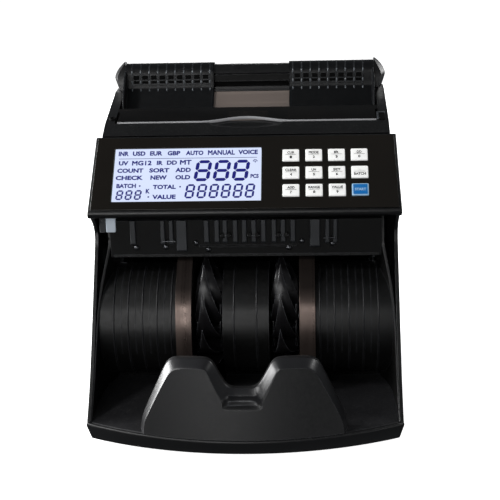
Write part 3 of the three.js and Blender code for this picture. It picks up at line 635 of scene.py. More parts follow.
def display_marks():
    shape = Shape()
    for text, across, down, width, height in LCD_WORDS:
        x, y = on_lcd(across, down)
        words(shape, text, x, y, INK_MIDDLE, height * LCD_HEIGHT, INK_TOP - INK_BOTTOM,
              width * LCD_WORD_SCALE)
    for spot in ((.184, .712), (.457, .735), (.247, .92)):
        shape.prism(Z, arc(0.75, on_lcd(*spot), 0, 350, 10), INK_BOTTOM, INK_TOP)
    x, y = on_lcd(.5, .19)
    shape.prism(Z, rectangle(x - 57, x + 57, y - .19, y + .19), INK_BOTTOM, INK_TOP)
    x, y = on_lcd(.96, .262)  # bell sign: arch, bar and clapper
    for outline in (band(arc(1.5, (x, y), 10, 170, 10), 0.22),
                    rectangle(x - 2.0, x + 2.0, y - 0.2, y + 0.25),
                    arc(0.5, (x, y - 0.9), 0, 330, 8)):
        shape.prism(Z, outline, INK_BOTTOM, INK_TOP)
    for count, low, high, thickness, gap in LCD_FIGURES:
        figures(shape, count, on_lcd(*low), on_lcd(*high), thickness, gap)
    piece("display_marks", shape, [LCD_INK], place=PANEL, smooth=1)


def key_body(x, y, mat):
    """A key cap with a rounded top, and the stem under it."""
    shape = Shape()
    w, h = KEY_HALF_WIDTH, KEY_HALF_DEPTH
    shape.loft([[(x + dx, y + dy, z) for dx, dy in
                 rounded(-w + inset, w - inset, -h + inset, h - inset, r * KEY_CORNER_SCALE)]
                for r, inset, z in KEY_PROFILE], mat)
    shape.box(x - 1.6, x + 1.6, y - 1.6, y + 1.6, -4.6, -1.5)
    return shape


def white_key(number, x, y, upper, lower):
    shape = key_body(x, y, 0)
    if upper == "-":
        shape.box(x - 1.1, x + 1.1, y + 2.0, y + 2.3, 1.56, 1.68, 1)
    else:
        words(shape, upper, x, y + 2.3, 1.62, height=2.4, depth=0.12,
              width=min(9.4, 2.0 * len(upper)), mat=1, bold=0.035)
    shape.box(x - 4.6, x + 4.6, y + 0.12, y + 0.46, 1.56, 1.68, 1)
    words(shape, lower, x, y - 2.1, 1.62, height=2.5, depth=0.12,
          width=9.6 if len(lower) > 1 else 1.9, mat=1, bold=0.035)
    piece(f"keycap_{number}", shape, [KEY_WHITE, INK], body=f"button_{number}",
          stands_for=f"key_{number}", place=PANEL, smooth=40)


def start_key(x, y):
    shape = key_body(x, y, 2)
    shape.prism(Z, [(x + dx, y + dy) for dx, dy in rounded(-5.7, 5.7, -4.6, 4.6, 0.6)],
                1.5, 1.72)
    words(shape, "START", x, y - 0.1, 1.76, height=2.5, depth=0.1, width=9.0, mat=1)
    piece("keycap_start", shape, [KEY_BLUE, INK_PALE, KEY_RIM],
          body="button_start", stands_for="key_start", place=PANEL, smooth=40)


def control_panel():
    dress("front_bezel", SHELL, bevel=1.1, segments=3)
    dress("display_board", BOARD, bevel=0.2)
    dress("panel_overlay", OVERLAY, bevel=0.22)
    display_window()
    display_marks()
    for i, (upper, lower) in enumerate(LEGENDS):
        white_key(i + 1, KEY_X[i % 4], KEY_Y[i // 4], upper, lower)
    start_key(KEY_X[-1], KEY_Y[-1])


# ------------------------------------------------------------------ housing
# top edge of the rear rail's end caps, front to rear: y, z
RAIL_TOP = [
    (95.5, 247.9), (96.1, 252.6), (97, 256.4), (98.4, 260.6), (100, 264), (102, 267.2),
    (104.4, 269.6), (107, 271.0), (110, 271.6), (113.5, 271.3), (116.6, 269.9), (119.4, 267.4),
    (121.6, 263.6), (123, 258.6), (123.6, 253), (123.6, 248.0)]
RAIL_BASE_Z, RAIL_WIDEST_Z = 247.6, 257.2


def rail_end(shape, side):
    """An end cap that swells to its widest height and draws in above it."""
    rows = []
    for y, top in chaikin(RAIL_TOP, 1):
        widest = 117.0 + 4.9 * min(1.0, max(0.0, (y - 95.5) / 16.0))
        top = max(top, 248.2)
        row = [(side * 111.0, y, RAIL_BASE_Z)]
        for k in range(13):
            z = RAIL_BASE_Z + (top - RAIL_BASE_Z) * k / 12
            if z > RAIL_WIDEST_Z:
                x = widest - 9.8 * ((z - RAIL_WIDEST_Z) / 14.4) ** 1.7
            else:
                x = widest - 2.9 * ((RAIL_WIDEST_Z - z) / 9.6) ** 1.15
            row.append((side * max(x, 111.6), y, z))
        row.append((side * 111.0, y, top))
        rows.append(row)
    shape.loft(rows)


def rear_rail():
    shape = Shape()
    bar = [(104.6, 248.6), (104.6, 253.0), (102.4, 253.6), (102.2, 259.8), (100.0, 260.6),
           (99.8, 261.4), (102.6, 267.3)]
    bar += chaikin([(103.8, 268.3), (110, 268.8), (116, 266), (118, 261.2), (118, 248.6)])
    shape.prism(X, bar, -112.4, 112.4)
    # Painted shade: near-black strips on the faces of the two recesses under the rail.
    shape.box(-112.2, 112.2, 104.15, 104.9, 248.8, 253.3, 1)
    shape.box(-112.2, 112.2, 101.8, 102.6, 254.0, 259.5, 2)
    shape.prism(X, [(101.4, 242), (101.4, 249), (116.5, 249), (116.5, 246.2), (104, 246.2)],
                -110, 110)
    for side, _ in SIDES:
        rail_end(shape, side)
    piece("rear_rail_shell", shape, [SHELL, SHADE_BLACK, WALL],
          stands_for="hopper_rear_rail", smooth=30)


def cover_fittings():
    """Small parts at the ends of the hopper cover."""
    shape = Shape()
    shape.lathe(Z, [(-1.6, 2.9), (1.0, 2.9), (1.5, 2.5), (1.5, 1.6), (0.5, 1.4), (0.5, 0.2)],
                (-114.5, -17.4), 28)
    shape.box(112.1, 116.8, -25.6, -13.4, -1.6, 0.9)
    piece("cover_stops", shape, [SHADE_BLACK], place=COVER, smooth=40)
    shape = Shape()
    shape.box(110.3, 111.7, -25.4, -12.2, -1.2, 1.6)
    shape.box(111.7, 117.2, -13.4, -12.2, -1.2, 1.6)
    piece("cover_latch", shape, [ZINC], bevel=0.15, place=COVER)


def housing():
    dress("top_housing", SHELL, bevel=1.0, segments=3)
    dress("side_cover_left", SHELL, bevel=0.7)
    dress("side_cover_right", SHELL, bevel=0.7)
    dress("rear_cover", SHELL, bevel=0.8)
    rear_rail()
    cover_fittings()
    for foot in ("front_left", "front_right", "rear_left", "rear_right"):
        dress("foot_" + foot, RUBBER)


# ------------------------------------------------------------------ base tray
TRAY_HALF_WIDTH = 125.0
TRAY_REAR = 122.0
TRAY_CORNER = 3          # radius of the rear corners
WELL_STEP_Y = -33.1      # the well floor is high in front of this, low behind it
TRAY_FOOT = ((3.9, 3.0), (3.3, 3.5))  # inset, z
# inset, height relative to the rim
TRAY_RIM = ((0.25, -2.6), (0.0, -1.5), (0.15, -0.7), (0.7, -0.12), (1.4, 0.0), (2.6, 0.0),
            (3.0, -0.35))


def tray_outline(inset):
    """Footprint: bowed front lip, straight sides, rounded rear corners."""
    half = TRAY_HALF_WIDTH - inset
    xs = [-half + 2 * half * i / 48 for i in range(49)]
    outline = [(x, lip_y(x, inset)) for x in xs]
    side_ys = (-60.0, -33.2, -33.0, 20.0)
    r = TRAY_CORNER
    corner_y = TRAY_REAR - inset - r
    turns = (0, .52, 1.05, 1.57)
    outline += [(half, y) for y in side_ys]
    outline += [(half - r + r * math.cos(a), corner_y + r * math.sin(a)) for a in turns]
    outline += [(-half + r - r * math.sin(a), corner_y + r * math.cos(a)) for a in turns]
    outline += [(-half, y) for y in side_ys[::-1]]
    return outline


def base_tray():
    rings = [[(x, y, z) for x, y in tray_outline(inset)] for inset, z in TRAY_FOOT]
    rings += [[(x, y, min(24.0, deck(y)) + lift) for x, y in tray_outline(inset)]
              for inset, lift in TRAY_RIM]
    well = tray_outline(3.05)
    rings.append([(x, y, (deck(y) - 2.25) if y < WELL_STEP_Y else 6.0) for x, y in well])
    shape = Shape()
    shape.loft(rings, cap_last=False)
    n = len(well)
    base = len(shape.vertices) - n
    order = [n - 2, n - 1, *range(n - 2)]
    front = [base + i for i in order if well[i][1] < WELL_STEP_Y]
    rear = [base + i for i in range(n) if well[i][1] >= WELL_STEP_Y]
    shape.face(front)
    shape.face(rear)
    shape.face((front[-1], rear[0], rear[-1], front[0]))
    piece("base_tray_shell", shape, [SHELL_BASE], stands_for="base_tray",
          smooth=38, welded=True)


# ------------------------------------------------------------------ stacking bay
DRUM_SPANS = ((-120.2, -44.1), (-18.9, 18.9), (44.1, 120.2))  # x, between the wheels
# x from the rib's middle, radius from the axle
BROAD_RIB = ((-0.75, 46.7), (-0.42, 47.62), (-0.15, 47.85), (0.15, 47.85), (0.42, 47.62),
             (0.75, 46.7))
FINE_RIB = ((-0.4, 46.8), (-0.2, 47.18), (0.2, 47.18), (0.4, 46.8))
DRUM_RIB_PITCH = 11.8
FLOOR_HALF_WIDTH = 121.8
BAY_TOP = 164.0
# front edge of the bay's side walls: y, z
EDGE_LINE = ((-103, 17.6), (-91, 31), (-80, 45), (-63, 71.5), (-47, 98), (-33, 121.5),
             (-24, 137), (-20.8, 143.5))
# plan of the right side wall's inner face, front to rear: y, x
WALL_LINE = chaikin([(-103.5, 121.1), (-84, 120.6), (-66, 120.3), (-52, 119.6), (-40, 117.4),
                     (-29, 113.8), (-22, 111.2), (-17.6, 110.5)])


def drum(shape):
    """Curved sheets around the axle, and their end walls beside the wheels."""
    sheet = arc(47.0, AXLE, 80, 254, 60) + arc(44.6, AXLE, 80, 254, 60)[::-1]
    for x0, x1 in DRUM_SPANS:
        shape.prism(X, sheet, x0, x1)
    wall = arc(45.0, AXLE, 80, 254, 40) + arc(17.0, AXLE, 80, 254, 16)[::-1]
    for x, side in ((-44.1, -1), (-18.9, 1), (18.9, -1), (44.1, 1)):
        shape.prism(X, wall, *sorted((x + side * 0.02, x + side * 1.6)))


def drum_rib(shape, x, end_angle, steps, profile):
    shape.loft([[(x + dx, AXLE[0] + y * r, AXLE[1] + z * r) for dx, r in profile]
                for y, z in arc(1.0, (0, 0), 96, end_angle, steps)])


def drum_ribs(shape):
    """Broad ribs, then finer ones between those of the outer spans."""
    for x in [s * (60.5 + DRUM_RIB_PITCH * i) for s, _ in SIDES for i in range(5)] + [-9.5, 9.0]:
        drum_rib(shape, x, 246, 50, BROAD_RIB)
    for x in [s * (54.6 + DRUM_RIB_PITCH * i) for s, _ in SIDES for i in range(5)]:
        drum_rib(shape, x, 200, 34, FINE_RIB)


def bay_floor(shape):
    """Floor sheet with a notch for each wheel, and the toe that joins it to the drum."""
    half, rear = FLOOR_HALF_WIDTH, -17.5
    xs = [-half + 2 * half * i / 40 for i in range(41)]
    outline = [(x, lip_y(x, 3.1)) for x in xs] + [(half, -60), (half, rear)]
    for c in (WHEEL_X, -WHEEL_X):
        outline += [(c + 12.4, rear), (c + 12.4, -36.6), (c - 12.4, -36.6), (c - 12.4, rear)]
    outline += [(-half, rear), (-half, -60)]
    shape.loft([[(x, y, deck(y) - 1.9) for x, y in outline],
                [(x, y, deck(y) - 0.25) for x, y in outline],
                [(x * 0.998, y + 0.25, deck(y)) for x, y in outline]], 1)
    # Painted shade: the toe is near-black so that its front face reads as shade.
    for x0, x1 in DRUM_SPANS:
        shape.prism(X, [(-19.6, 21.3), (-17.4, 21.4), (-17.4, 29.0), (-19.0, 27.4)],
                    max(x0, -113), min(x1, 113), 2)


def edge_top(y):
    """Height of the front edge line above a given depth."""
    if y < EDGE_LINE[0][0]:
        return EDGE_LINE[0][1]
    return interpolate(EDGE_LINE, y, beyond=BAY_TOP)


def bay_wall(shape, side):
    """A side sheet that sweeps inwards towards the rear."""
    rows = []
    for y in [-102.4 + i * (84.6 / 44) for i in range(45)]:
        x = interpolate(WALL_LINE, y)
        bottom = deck(y) - 0.9
        top = max(deck(y) - 0.4, min(BAY_TOP, edge_top(y - 0.9) - 0.5))
        thickness = 0.9 if y < -66 else min(2.2, 0.9 + (y + 66) * 0.03)
        outer = min(x + thickness, 121.5)
        rows.append([(side * outer, y, bottom), (side * x, y, bottom), (side * x, y, top - 0.3),
                     (side * (x + 0.25), y, top), (side * outer, y, top)])
    shape.loft(rows)


def bay_liner():
    shape = Shape()
    drum(shape)
    drum_ribs(shape)
    bay_floor(shape)
    for side, _ in SIDES:
        bay_wall(shape, side)
    piece("bay_liner_skin", shape, [LINER, BAY_FLOOR_PAINTED_LIGHT, SHADE_BLACK],
          stands_for="bay_liner", smooth=34)


def wheel_wells():
    """A curved sheet under each wheel, closed at both sides."""
    shape = Shape()
    sheet = arc(57.6, AXLE, 222, 352, 40) + arc(57.0, AXLE, 222, 352, 40)[::-1]
    wall = arc(57.3, AXLE, 256, 352, 30) + arc(16.0, AXLE, 256, 352, 14)[::-1]
    for c in (-WHEEL_X, WHEEL_X):
        shape.prism(X, sheet, c - 12.5, c + 12.5)
        for x in (c - 12.5, c + 12.0):
            shape.prism(X, wall, x, x + 0.5)
    piece("wheel_wells", shape, [SHADE_BLACK], smooth=40)


def spring_strips():
    """Spring-steel strips, smoothly bent over the drum."""
    path = chaikin([(-20.4, 127.4), (-26, 123), (-38, 113), (-50.4, 99.5), (-56.4, 84),
                    (-57.2, 62), (-54.8, 42), (-51, 27)], 3)
    for side, name in SIDES:
        shape = Shape()
        shape.prism(X, band(path, 0.35), side * 50.2 - 6.4, side * 50.2 + 6.4)
        piece("spring_strip_" + name, shape, [STRIP_STEEL_PAINTED_REFLECTION],
              stands_for="outlet_strip_" + name, bevel=0.18, bevel_angle=50)


# ------------------------------------------------------------------ stacker wheels
BLADES = 12
BLADE_STEPS = 18


def blade_section(share, number, wheel_x):
    """Section of a curved blade; share runs from 0 at the root to 1 at the narrow tip."""
    r = 11 + 45 * share
    angle = number * 2 * math.pi / BLADES - 0.95 * share * share - 0.25 * share
    sweep = -(1.9 * share + 0.25) / 45 * r  # change of angle along the blade, times r
    half = 0.85 - 0.42 * share              # half thickness
    left = -11 if r < 34 else -11 + 7.6 * (r - 34) / 22
    right = 11 if r < 33.5 else 11 - 14.4 * ((r - 33.5) / 22.5) ** 1.05
    right = max(right, left + 0.5)
    c, s = math.cos(angle), math.sin(angle)
    along_y, along_z = c - s * sweep, s + c * sweep
    length = math.hypot(along_y, along_z)
    ny, nz = -along_z / length, along_y / length
    near_right = right - 0.5 if right - left > 1.2 else right
    edge = [(left, 0.5), (left + 0.5, 1), ((left + right) / 2, 1), (near_right, 1), (right, 0.5)]
    face = [(x, -half * part) for x, part in edge]
    face += [(x, half * part) for x, part in edge[::-1]]
    return [(wheel_x + x, AXLE[0] + (r * c + ny * o), AXLE[1] + (r * s + nz * o))
            for x, o in face]


def stacker_wheel(side, name):
    shape = Shape()
    wheel_x = side * WHEEL_X
    for number in range(BLADES):
        shape.loft([blade_section(i / BLADE_STEPS, number, wheel_x)
                    for i in range(BLADE_STEPS + 1)])
    hub = [(-11, 4.4), (-11, 13.0), (-10.5, 13.6), (10.5, 13.6), (11, 13.0), (11, 4.4)]
    shape.lathe(X, [(wheel_x + x, r) for x, r in hub], AXLE, 40, wrap=True)
    ring = ((0, 11.0), (0, 27.0), (0.3, 27.4), (1.1, 27.4), (1.4, 27.0), (1.4, 11.0))
    for x in (-10.2, 8.8):  # rings that tie the blades together
        shape.lathe(X, [(wheel_x + (x + dx), r) for dx, r in ring], AXLE, 48, wrap=True)
    piece("wheel_blades_" + name, shape, [WHEEL], body="stacker_rotor",
          stands_for="stacker_wheel_" + name, smooth=42)


def stacker_rotor():
    for side, name in SIDES:
        stacker_wheel(side, name)
    dress("stacker_shaft", ZINC, bevel=0.3)
    dress("stacker_pulley", SHELL, bevel=0.2)


# ------------------------------------------------------------------ outlet wall
PINCH_SHAFTS = ((-20.6, -11.2), (1.6, 12), (24.8, 35.8))  # x from, to
PINCH_AXIS = (-27.4, 147.8)                               # y, z
# middle x, width, lower z
WALL_RIBS = (
    (-92, 5, 141), (-67.5, 4, 141), (-60.5, 4, 141), (-52, 9, 135), (-31.5, 4.4, 142),
    (-23, 4.4, 142), (-16.4, 4.4, 142), (-8, 4.4, 142), (-0.6, 4.4, 142), (7.2, 4.4, 142),
    (15, 4.4, 142), (23.6, 4.4, 142), (31, 4.4, 142), (39, 4.4, 142), (57, 8.4, 138),
    (67, 3.8, 141), (73.4, 3.8, 141))
# x, z
WALL_SCREWS = ((-89.7, 137.2), (-65.5, 137.7), (-40.3, 140.9), (-30.4, 135.2), (35.6, 136.4),
               (46.3, 141.9), (71.1, 139.4))


def outlet_plate():
    """The bent plate, two ledges on its front and a row of low blocks."""
    shape = Shape()
    shape.prism(X, [(-24, 129.4), (-23.6, 129), (-21.4, 129), (-21.4, 158), (-17, 163.5),
                    (-18.6, 165.4), (-24, 160)], -111.2, 111.2)
    shape.prism(X, [(-24.6, 137.3), (-25.2, 137.5), (-25.3, 138.1), (-25.0, 138.6),
                    (-23.5, 138.9), (-23.5, 137.1)], -38, 42)
    shape.prism(X, [(-25.0, 129.6), (-24.6, 128.9), (-23.4, 128.9), (-23.4, 131.0),
                    (-24.4, 131.2)], -109, 109)
    for x, width in ((-96, 14), (-60, 3), (-24, 22), (8, 3), (30, 24), (70, 30)):
        shape.box(x - width / 2, x + width / 2, -25.4, -23.6, 130.2, 130.9)
    piece("outlet_wall_ribbed", shape, [WALL], stands_for="outlet_wall",
          bevel=0.15, bevel_angle=40)


def outlet_ribs():
    shape = Shape()
    for x, width, low in WALL_RIBS:
        x0, x1 = x - width / 2, x + width / 2
        section = [(x0, -23.6), (x0 + 0.3, -26.2), (x0 + 0.8, -26.7), (x1 - 0.8, -26.7),
                   (x1 - 0.3, -26.2), (x1, -23.6)]
        levels = ((low - 1.6, 0.15), (low, 0.9), (low + 0.8, 1.0), (160.5, 1.0))
        shape.loft([[(a, -23.8 + (b + 23.8) * reach, z) for a, b in section]
                    for z, reach in levels])
    piece("outlet_wall_ribs", shape, [RIB_PAINTED_LIGHT], bevel=0.2, bevel_angle=40)


def pin(shape, x0, x1, radius, end_radius, centre):
    shape.lathe(X, [(x0, end_radius), (x0 + 0.2, radius), (x1 - 0.2, radius), (x1, end_radius)],
                centre, 12)


def outlet_fasteners():
    shape = Shape()
    for spot in WALL_SCREWS:
        shape.lathe(Y, [(-23.7, 2.2), (-24.6, 2.3), (-25.3, 1.9), (-25.8, 1.2), (-26.0, 0.5)],
                    spot, 20)
    for x0, x1, z in ((-67.6, -57, 143.2), (63.5, 74, 145.0)):
        pin(shape, x0, x1, 0.55, 0.3, (-27.0, z))
    for x0, x1 in PINCH_SHAFTS:
        pin(shape, x0, x1, 0.5, 0.2, PINCH_AXIS)
    piece("outlet_fasteners", shape, [BOLT], smooth=40)


def pinch_rollers():
    shape = Shape()
    for x0, x1 in PINCH_SHAFTS:
        for x in (x0 + 0.9, x1 - 3.7):
            shape.lathe(X, [(x, 1.7), (x + 0.3, 2.1), (x + 2.5, 2.1), (x + 2.8, 1.7)],
                        PINCH_AXIS, 24)
    piece("pinch_rollers", shape, [RUBBER], smooth=40)


def lens_block(shape, back, face, step_y, face_y, mat):
    """A rounded block whose outline steps in from back to face."""
    rings = [[(x, y, z) for x, z in back] for y in (-21.5, step_y)]
    shape.loft(rings + [[(x * 0.999, face_y, z) for x, z in face]], mat)


def sensor_lens():
    shape = Shape()
    lens_block(shape, rounded(-113.8, -106.0, 151.0, 163.4, 1.0),
               rounded(-113.4, -106.5, 151.5, 163.0, 0.8), -25.6, -26.1, 0)
    lens_block(shape, rounded(-119.4, -114.3, 150.2, 163.0, 0.8),
               rounded(-119.0, -114.7, 150.7, 162.6, 0.6), -24.0, -24.6, 1)
    shape.lathe(Y, [(-24.4, 1.6), (-24.9, 1.7), (-25.2, 1.3), (-25.2, 0.5)],
                (-117.0, 160.0), 20, 1)
    bar = ((0, 0), (0.9, 0.7), (0.9, 1.5), (0, 0.8))
    shape.loft([[(-118.6 + 5.2 * t + dx, -24.2, 147.6 - 4.0 * t + dz) for dx, dz in bar]
                for t in (0, 1)], 1)
    piece("sensor_lens_block", shape, [LENS, RIB_PAINTED_LIGHT], smooth=38)


def outlet():
    outlet_plate()
    outlet_ribs()
    outlet_fasteners()
    pinch_rollers()
    sensor_lens()
    dress("sensor_bar", BOARD, bevel=0.3)


# ------------------------------------------------------------------ stacker stop
STOP_RADIUS = LIP_RADIUS - 1.0
STOP_FOOT_Z = 16.6
STOP_VALLEY = (35.5, -2.0)  # height at x = 0, change per mm of inset
# right half of the crest: x, its change per mm of inset, height, its change per mm of inset
STOP_CREST = (
    (4.4, 0.3, 35.6, -2.0), (9, 0.8, 36.2, -2), (12.8, 1, 38.6, -1.2), (16.6, 1, 44.4, -1),
    (20.2, 1, 51, -0.8), (23.6, 0.7, 56, -1), (28, 0.4, 58, -1), (40, 0, 57.9, -1),
    (53, -0.6, 57.2, -1), (58.4, -0.8, 53.6, -0.8), (61.4, -0.75, 48.4, -0.5),
    (67.6, -0.68, 35.3, -0.3), (73.8, -0.64, 22, -0.15), (79.0, -0.62, 10.5, 0),
    (80.2, -0.62, 4.0, 0), (80.5, -0.62, -1.2, 0))
# set-back of the front face in the valley: a lip with a rounded pocket under it; height, depth
POCKET = ((-9, 0.0), (22.4, 0.0), (23.4, 1.2), (24.2, 5.2), (25.6, 6.9), (27.8, 6.9),
          (30.2, 5.4), (31.8, 4.4), (33.4, 4.9), (36.0, 7.8), (90, 7.8))
# crest inset, depth behind the front face, lift off the deck; rear to front, then inner
STOP_OUTER = ((0.15, 13.0, 0.0), (0.0, 12.7, 0.0), (0.0, 8.2, 0.0), (0.12, 7.6, 0.0),
              (0.5, 7.0, 0.0), (2.3, 4.0, 0.0), (4.1, 1.0, 0.0), (4.6, 0.35, 0.0),
              (5.0, 0.0, 0.0), (5.6, 0.0, 0.0))
STOP_INNER = ((1.9, 13.0, 1.8), (2.2, 9.5, 1.8), (4.4, 5.4, 1.8), (6.6, 2.6, 1.8))
STOP_ROWS = 44


def crest(inset):
    half = [(x + dx * inset, h + dh * inset) for x, dx, h, dh in STOP_CREST]
    valley = (0, STOP_VALLEY[0] + STOP_VALLEY[1] * inset)
    return chaikin([(-x, h) for x, h in half[::-1]] + [valley] + half)


def bowed_y(x, depth):
    return LIP_CENTRE_Y - math.sqrt((STOP_RADIUS - depth) ** 2 - x * x)


def stop_point(x, height, depth):
    """Point on the bowed, leaning stop."""
    in_valley = max(0.0, 1 - (abs(x) / 15.0) ** 3.6)
    depth = max(depth, in_valley * interpolate(POCKET, height) + 0.12 * depth)
    return (x, bowed_y(x, depth) + 0.2 * max(height, -3), STOP_FOOT_Z + height)


def foot_height(x, depth, lift):
    return deck(bowed_y(x, depth)) + 0.35 - STOP_FOOT_Z + lift


def stop_ring(inset, depth, lift):
    """The crest from left to right, then the foot line back."""
    top = crest(inset)
    low = [(x, foot_height(x, depth, lift)) for x, _ in top]
    high = [(x, max(h, foot + 0.05)) for (x, h), (_, foot) in zip(top, low)]
    return [stop_point(x, h, depth) for x, h in high + low[::-1]]


def stop_face(shape, inset, depth, lift):
    """Closes the last ring with a grid of columns so that it follows the bowed surface."""
    top = crest(inset)
    n = len(top)
    start = len(shape.vertices) - 2 * n
    grid = []
    for i, (x, h) in enumerate(top):
        low = foot_height(x, depth, lift)
        high = max(h, low + 0.05)
        column = [start + (2 * n - 1 - i)]
        for row in range(1, STOP_ROWS):
            column.append(len(shape.vertices))
            shape.vertices.append(stop_point(x, low + (high - low) * row / STOP_ROWS, depth))
        column.append(start + i)
        grid.append(column)
    for a, b in zip(grid, grid[1:]):
        for row in range(STOP_ROWS):
            shape.face((a[row], b[row], b[row + 1], a[row + 1]))


def stacker_stop():
    shape = Shape()
    rings = [stop_ring(*station) for station in STOP_OUTER]
    n = len(rings[0])
    shape.loft(rings, cap_first=False, cap_last=False)
    for i in range(len(shape.faces)):  # the rounded rim and its bevel, above the foot line
        if 2 <= i // n <= 7 and i % n < n // 2:
            shape.mats[i] = 1
    stop_face(shape, *STOP_OUTER[-1])
    inner = len(shape.vertices)
    shape.loft([stop_ring(*station) for station in STOP_INNER], cap_first=False, cap_last=False)
    stop_face(shape, *STOP_INNER[-1])
    for i in range(n):  # rear edge between the outer and inner skins
        j = (i + 1) % n
        shape.face((i, j, inner + j, inner + i))
    for side, _ in SIDES:
        shape.prism(Z, rounded(side * 50 - 7, side * 50 + 7, -122.5, -118, 0.5), 9.8, 18.2)
    piece("stop_shell", shape, [STOP, STOP_RIM], body="stop",
          stands_for="stacker_stop", smooth=31, welded=True)


# ------------------------------------------------------------------ hopper
# inset of the front edge, z
COVER_LEVELS = ((0.9, -1.7), (0.35, -1.55), (0.05, -1.1), (0.0, -0.4), (0.05, 0.3),
                (0.35, 0.75), (0.9, 0.9))
# middle line of the note guides' bent sheet, from the rear round to the front: y, z
GUIDE_PATH = chaikin([(119.2, 253), (119.2, 261.4), (117, 266.8), (110.2, 269.7),
                      (102.2, 267.5), (98.4, 262), (98.4, 249.4), (95.8, 246.7), (74, 223.3)])
GUIDE_FLANGE = chaikin([(98.9, 262), (98.9, 249), (96.2, 245.9), (66, 213.6), (62.6, 214.6),
                        (61.4, 222), (74, 247), (86, 259), (96, 266.4)], closed=True)
GUIDE_RIB_PITCH = 7.75
# x from the rib's middle, height off the sheet
GUIDE_RIB_SECTION = ((-0.4, 0.5), (-0.25, 0.95), (0, 1.0), (0.25, 0.95), (0.4, 0.5))
# start y, z, end y, z and outward y, z of the lugs on each rib; the lugs are painted grey as
# highlights where the ribs bend
GUIDE_LUGS = ((99.7, 264.3, 98.5, 261.4, -0.93, 0.37), (98.4, 256.2, 98.4, 252.6, -1.0, 0.0),
              (97.6, 248.5, 95.6, 246.4, -0.72, 0.69))
LUG_ARCH = ((0, 0.3), (0.18, 1.25), (0.5, 1.5), (0.82, 1.25), (1, 0.3))   # share along, height
LUG_SECTION = ((-0.62, 0), (-0.45, 0.8), (0, 1.0), (0.45, 0.8), (0.62, 0))  # x, share of height


def hopper_cover():
    """A sheet whose front edge dips in the middle, on a round bar along x."""
    edge = [(-109.6, -25.6), (-74, -25.6), (-44, -25.5)]
    for i in range(41):
        t = -1 + 2 * i / 40
        edge.append((t * 40, -25.5 + 8.1 * (0.5 + 0.5 * math.cos(t * math.pi))))
    edge += [(44, -25.5), (74, -25.6), (109.6, -25.6)]
    back = [(109.6, -5.5), (111.4, -5.5), (111.4, 2), (-111.4, 2), (-111.4, -5.5),
            (-109.6, -5.5)]
    shape = Shape()
    shape.loft([[(x, y + inset, z) for x, y in edge] + [(x, y, z) for x, y in back]
                for inset, z in COVER_LEVELS])
    ring = len(edge) + len(back)
    # Painted highlight: the front edge faces get the pale, faintly glowing edge finish.
    for i, face in enumerate(shape.faces):
        if len(face) == 4 and all(v % ring < len(edge) for v in face):
            shape.mats[i] = 1
    shape.lathe(X, [(-111.4, 0.7), (-111.0, 0.95), (111.0, 0.95), (111.4, 0.7)], (0, -0.5), 20)
    piece("hopper_cover_sheet", shape, [SMOKED, ACRYLIC_EDGE_HIGHLIGHT], body="cover",
          stands_for="hopper_cover", place=COVER, smooth=50)


def guide_rib(shape, x):
    """A rib that follows the outside of the sheet, above its lower bend."""
    rings = []
    for i in range(6, len(GUIDE_PATH) - 1):
        y, z = GUIDE_PATH[i]
        if z < 249.5:
            continue
        a, b = GUIDE_PATH[i - 1], GUIDE_PATH[i + 1]
        dy, dz = b[0] - a[0], b[1] - a[1]
        length = math.hypot(dy, dz)
        ny, nz = dz / length, -dy / length
        if (y - 108) * ny + (z - 258) * nz < 0:
            ny, nz = -ny, -nz
        rings.append([(x + dx, y + ny * o, z + nz * o) for dx, o in GUIDE_RIB_SECTION])
    shape.loft(rings)


def guide_lug(shape, x, y0, z0, y1, z1, ny, nz):
    rows = []
    for t, h in LUG_ARCH:
        y, z = y0 + (y1 - y0) * t, z0 + (z1 - z0) * t
        rows.append([(x + dx, y + ny * (0.4 + h * part), z + nz * (0.4 + h * part))
                     for dx, part in LUG_SECTION])
    # painted highlight: the lug takes the grey glint finish
    shape.loft(rows, 1)


def note_guide(side, name, x0, x1, first_rib):
    """x0 to x1 is the sheet; first_rib is the distance of its innermost rib from x = 0."""
    shape = Shape()
    shape.prism(X, band(GUIDE_PATH, 0.8), x0, x1)
    rib = first_rib
    while rib < 107:
        guide_rib(shape, side * rib)
        for lug in GUIDE_LUGS:
            guide_lug(shape, side * rib, *lug)
        # Painted shade: near-black patches between the ribs stand in for dark slots.
        if rib + GUIDE_RIB_PITCH < 107.5:  # thin patches between this rib and the next
            left, right = sorted((side * (rib + 1.3), side * (rib + 6.45)))
            for z0, z1 in ((256.9, 260.6), (249.9, 251.9), (253.4, 255.8)):
                shape.box(left, right, 97.42, 97.9, z0, z1, 2)
        rib += GUIDE_RIB_PITCH
    outer, inner = (x0, x1) if side < 0 else (x1, x0)
    shape.prism(X, GUIDE_FLANGE, *sorted((outer, outer - side * 1.3)))
    shape.prism(X, band(GUIDE_PATH, 0.8, 1.3), *sorted((inner, inner + side * 1.4)))
    piece("guide_sleeve_" + name, shape, [GUIDE, GUIDE_RIB_GLINT, SHADE_BLACK],
          body="guide_" + name, stands_for="note_guide_" + name, bevel=0.12, bevel_angle=50)


# Near-black sheets inside the machine that stand in for its dark interior: painted shade, which
# also hides the openings behind.
def inner_baffle():
    shape = Shape()
    path = chaikin([(30.5, 141.5), (44, 137.5), (53.4, 129), (53.6, 104), (53.6, 66)])
    shape.prism(X, band(path, 0.6), -105.4, 105.4)
    shape.box(108.5, 119.4, 1.0, 1.6, 100, 160)
    shape.box(-119.4, -108.5, 1.0, 1.6, 100, 160)
    throat = band([(50.4, 193.8), (32, 188), (15, 178), (12, 182), (11, 204)], 0.5)
    for x0, x1 in ((-117, -64), (64, 117)):  # feed throat either side of the separator
        shape.prism(X, throat, x0, x1)
    piece("inner_baffle", shape, [SHADE_BLACK], smooth=40)


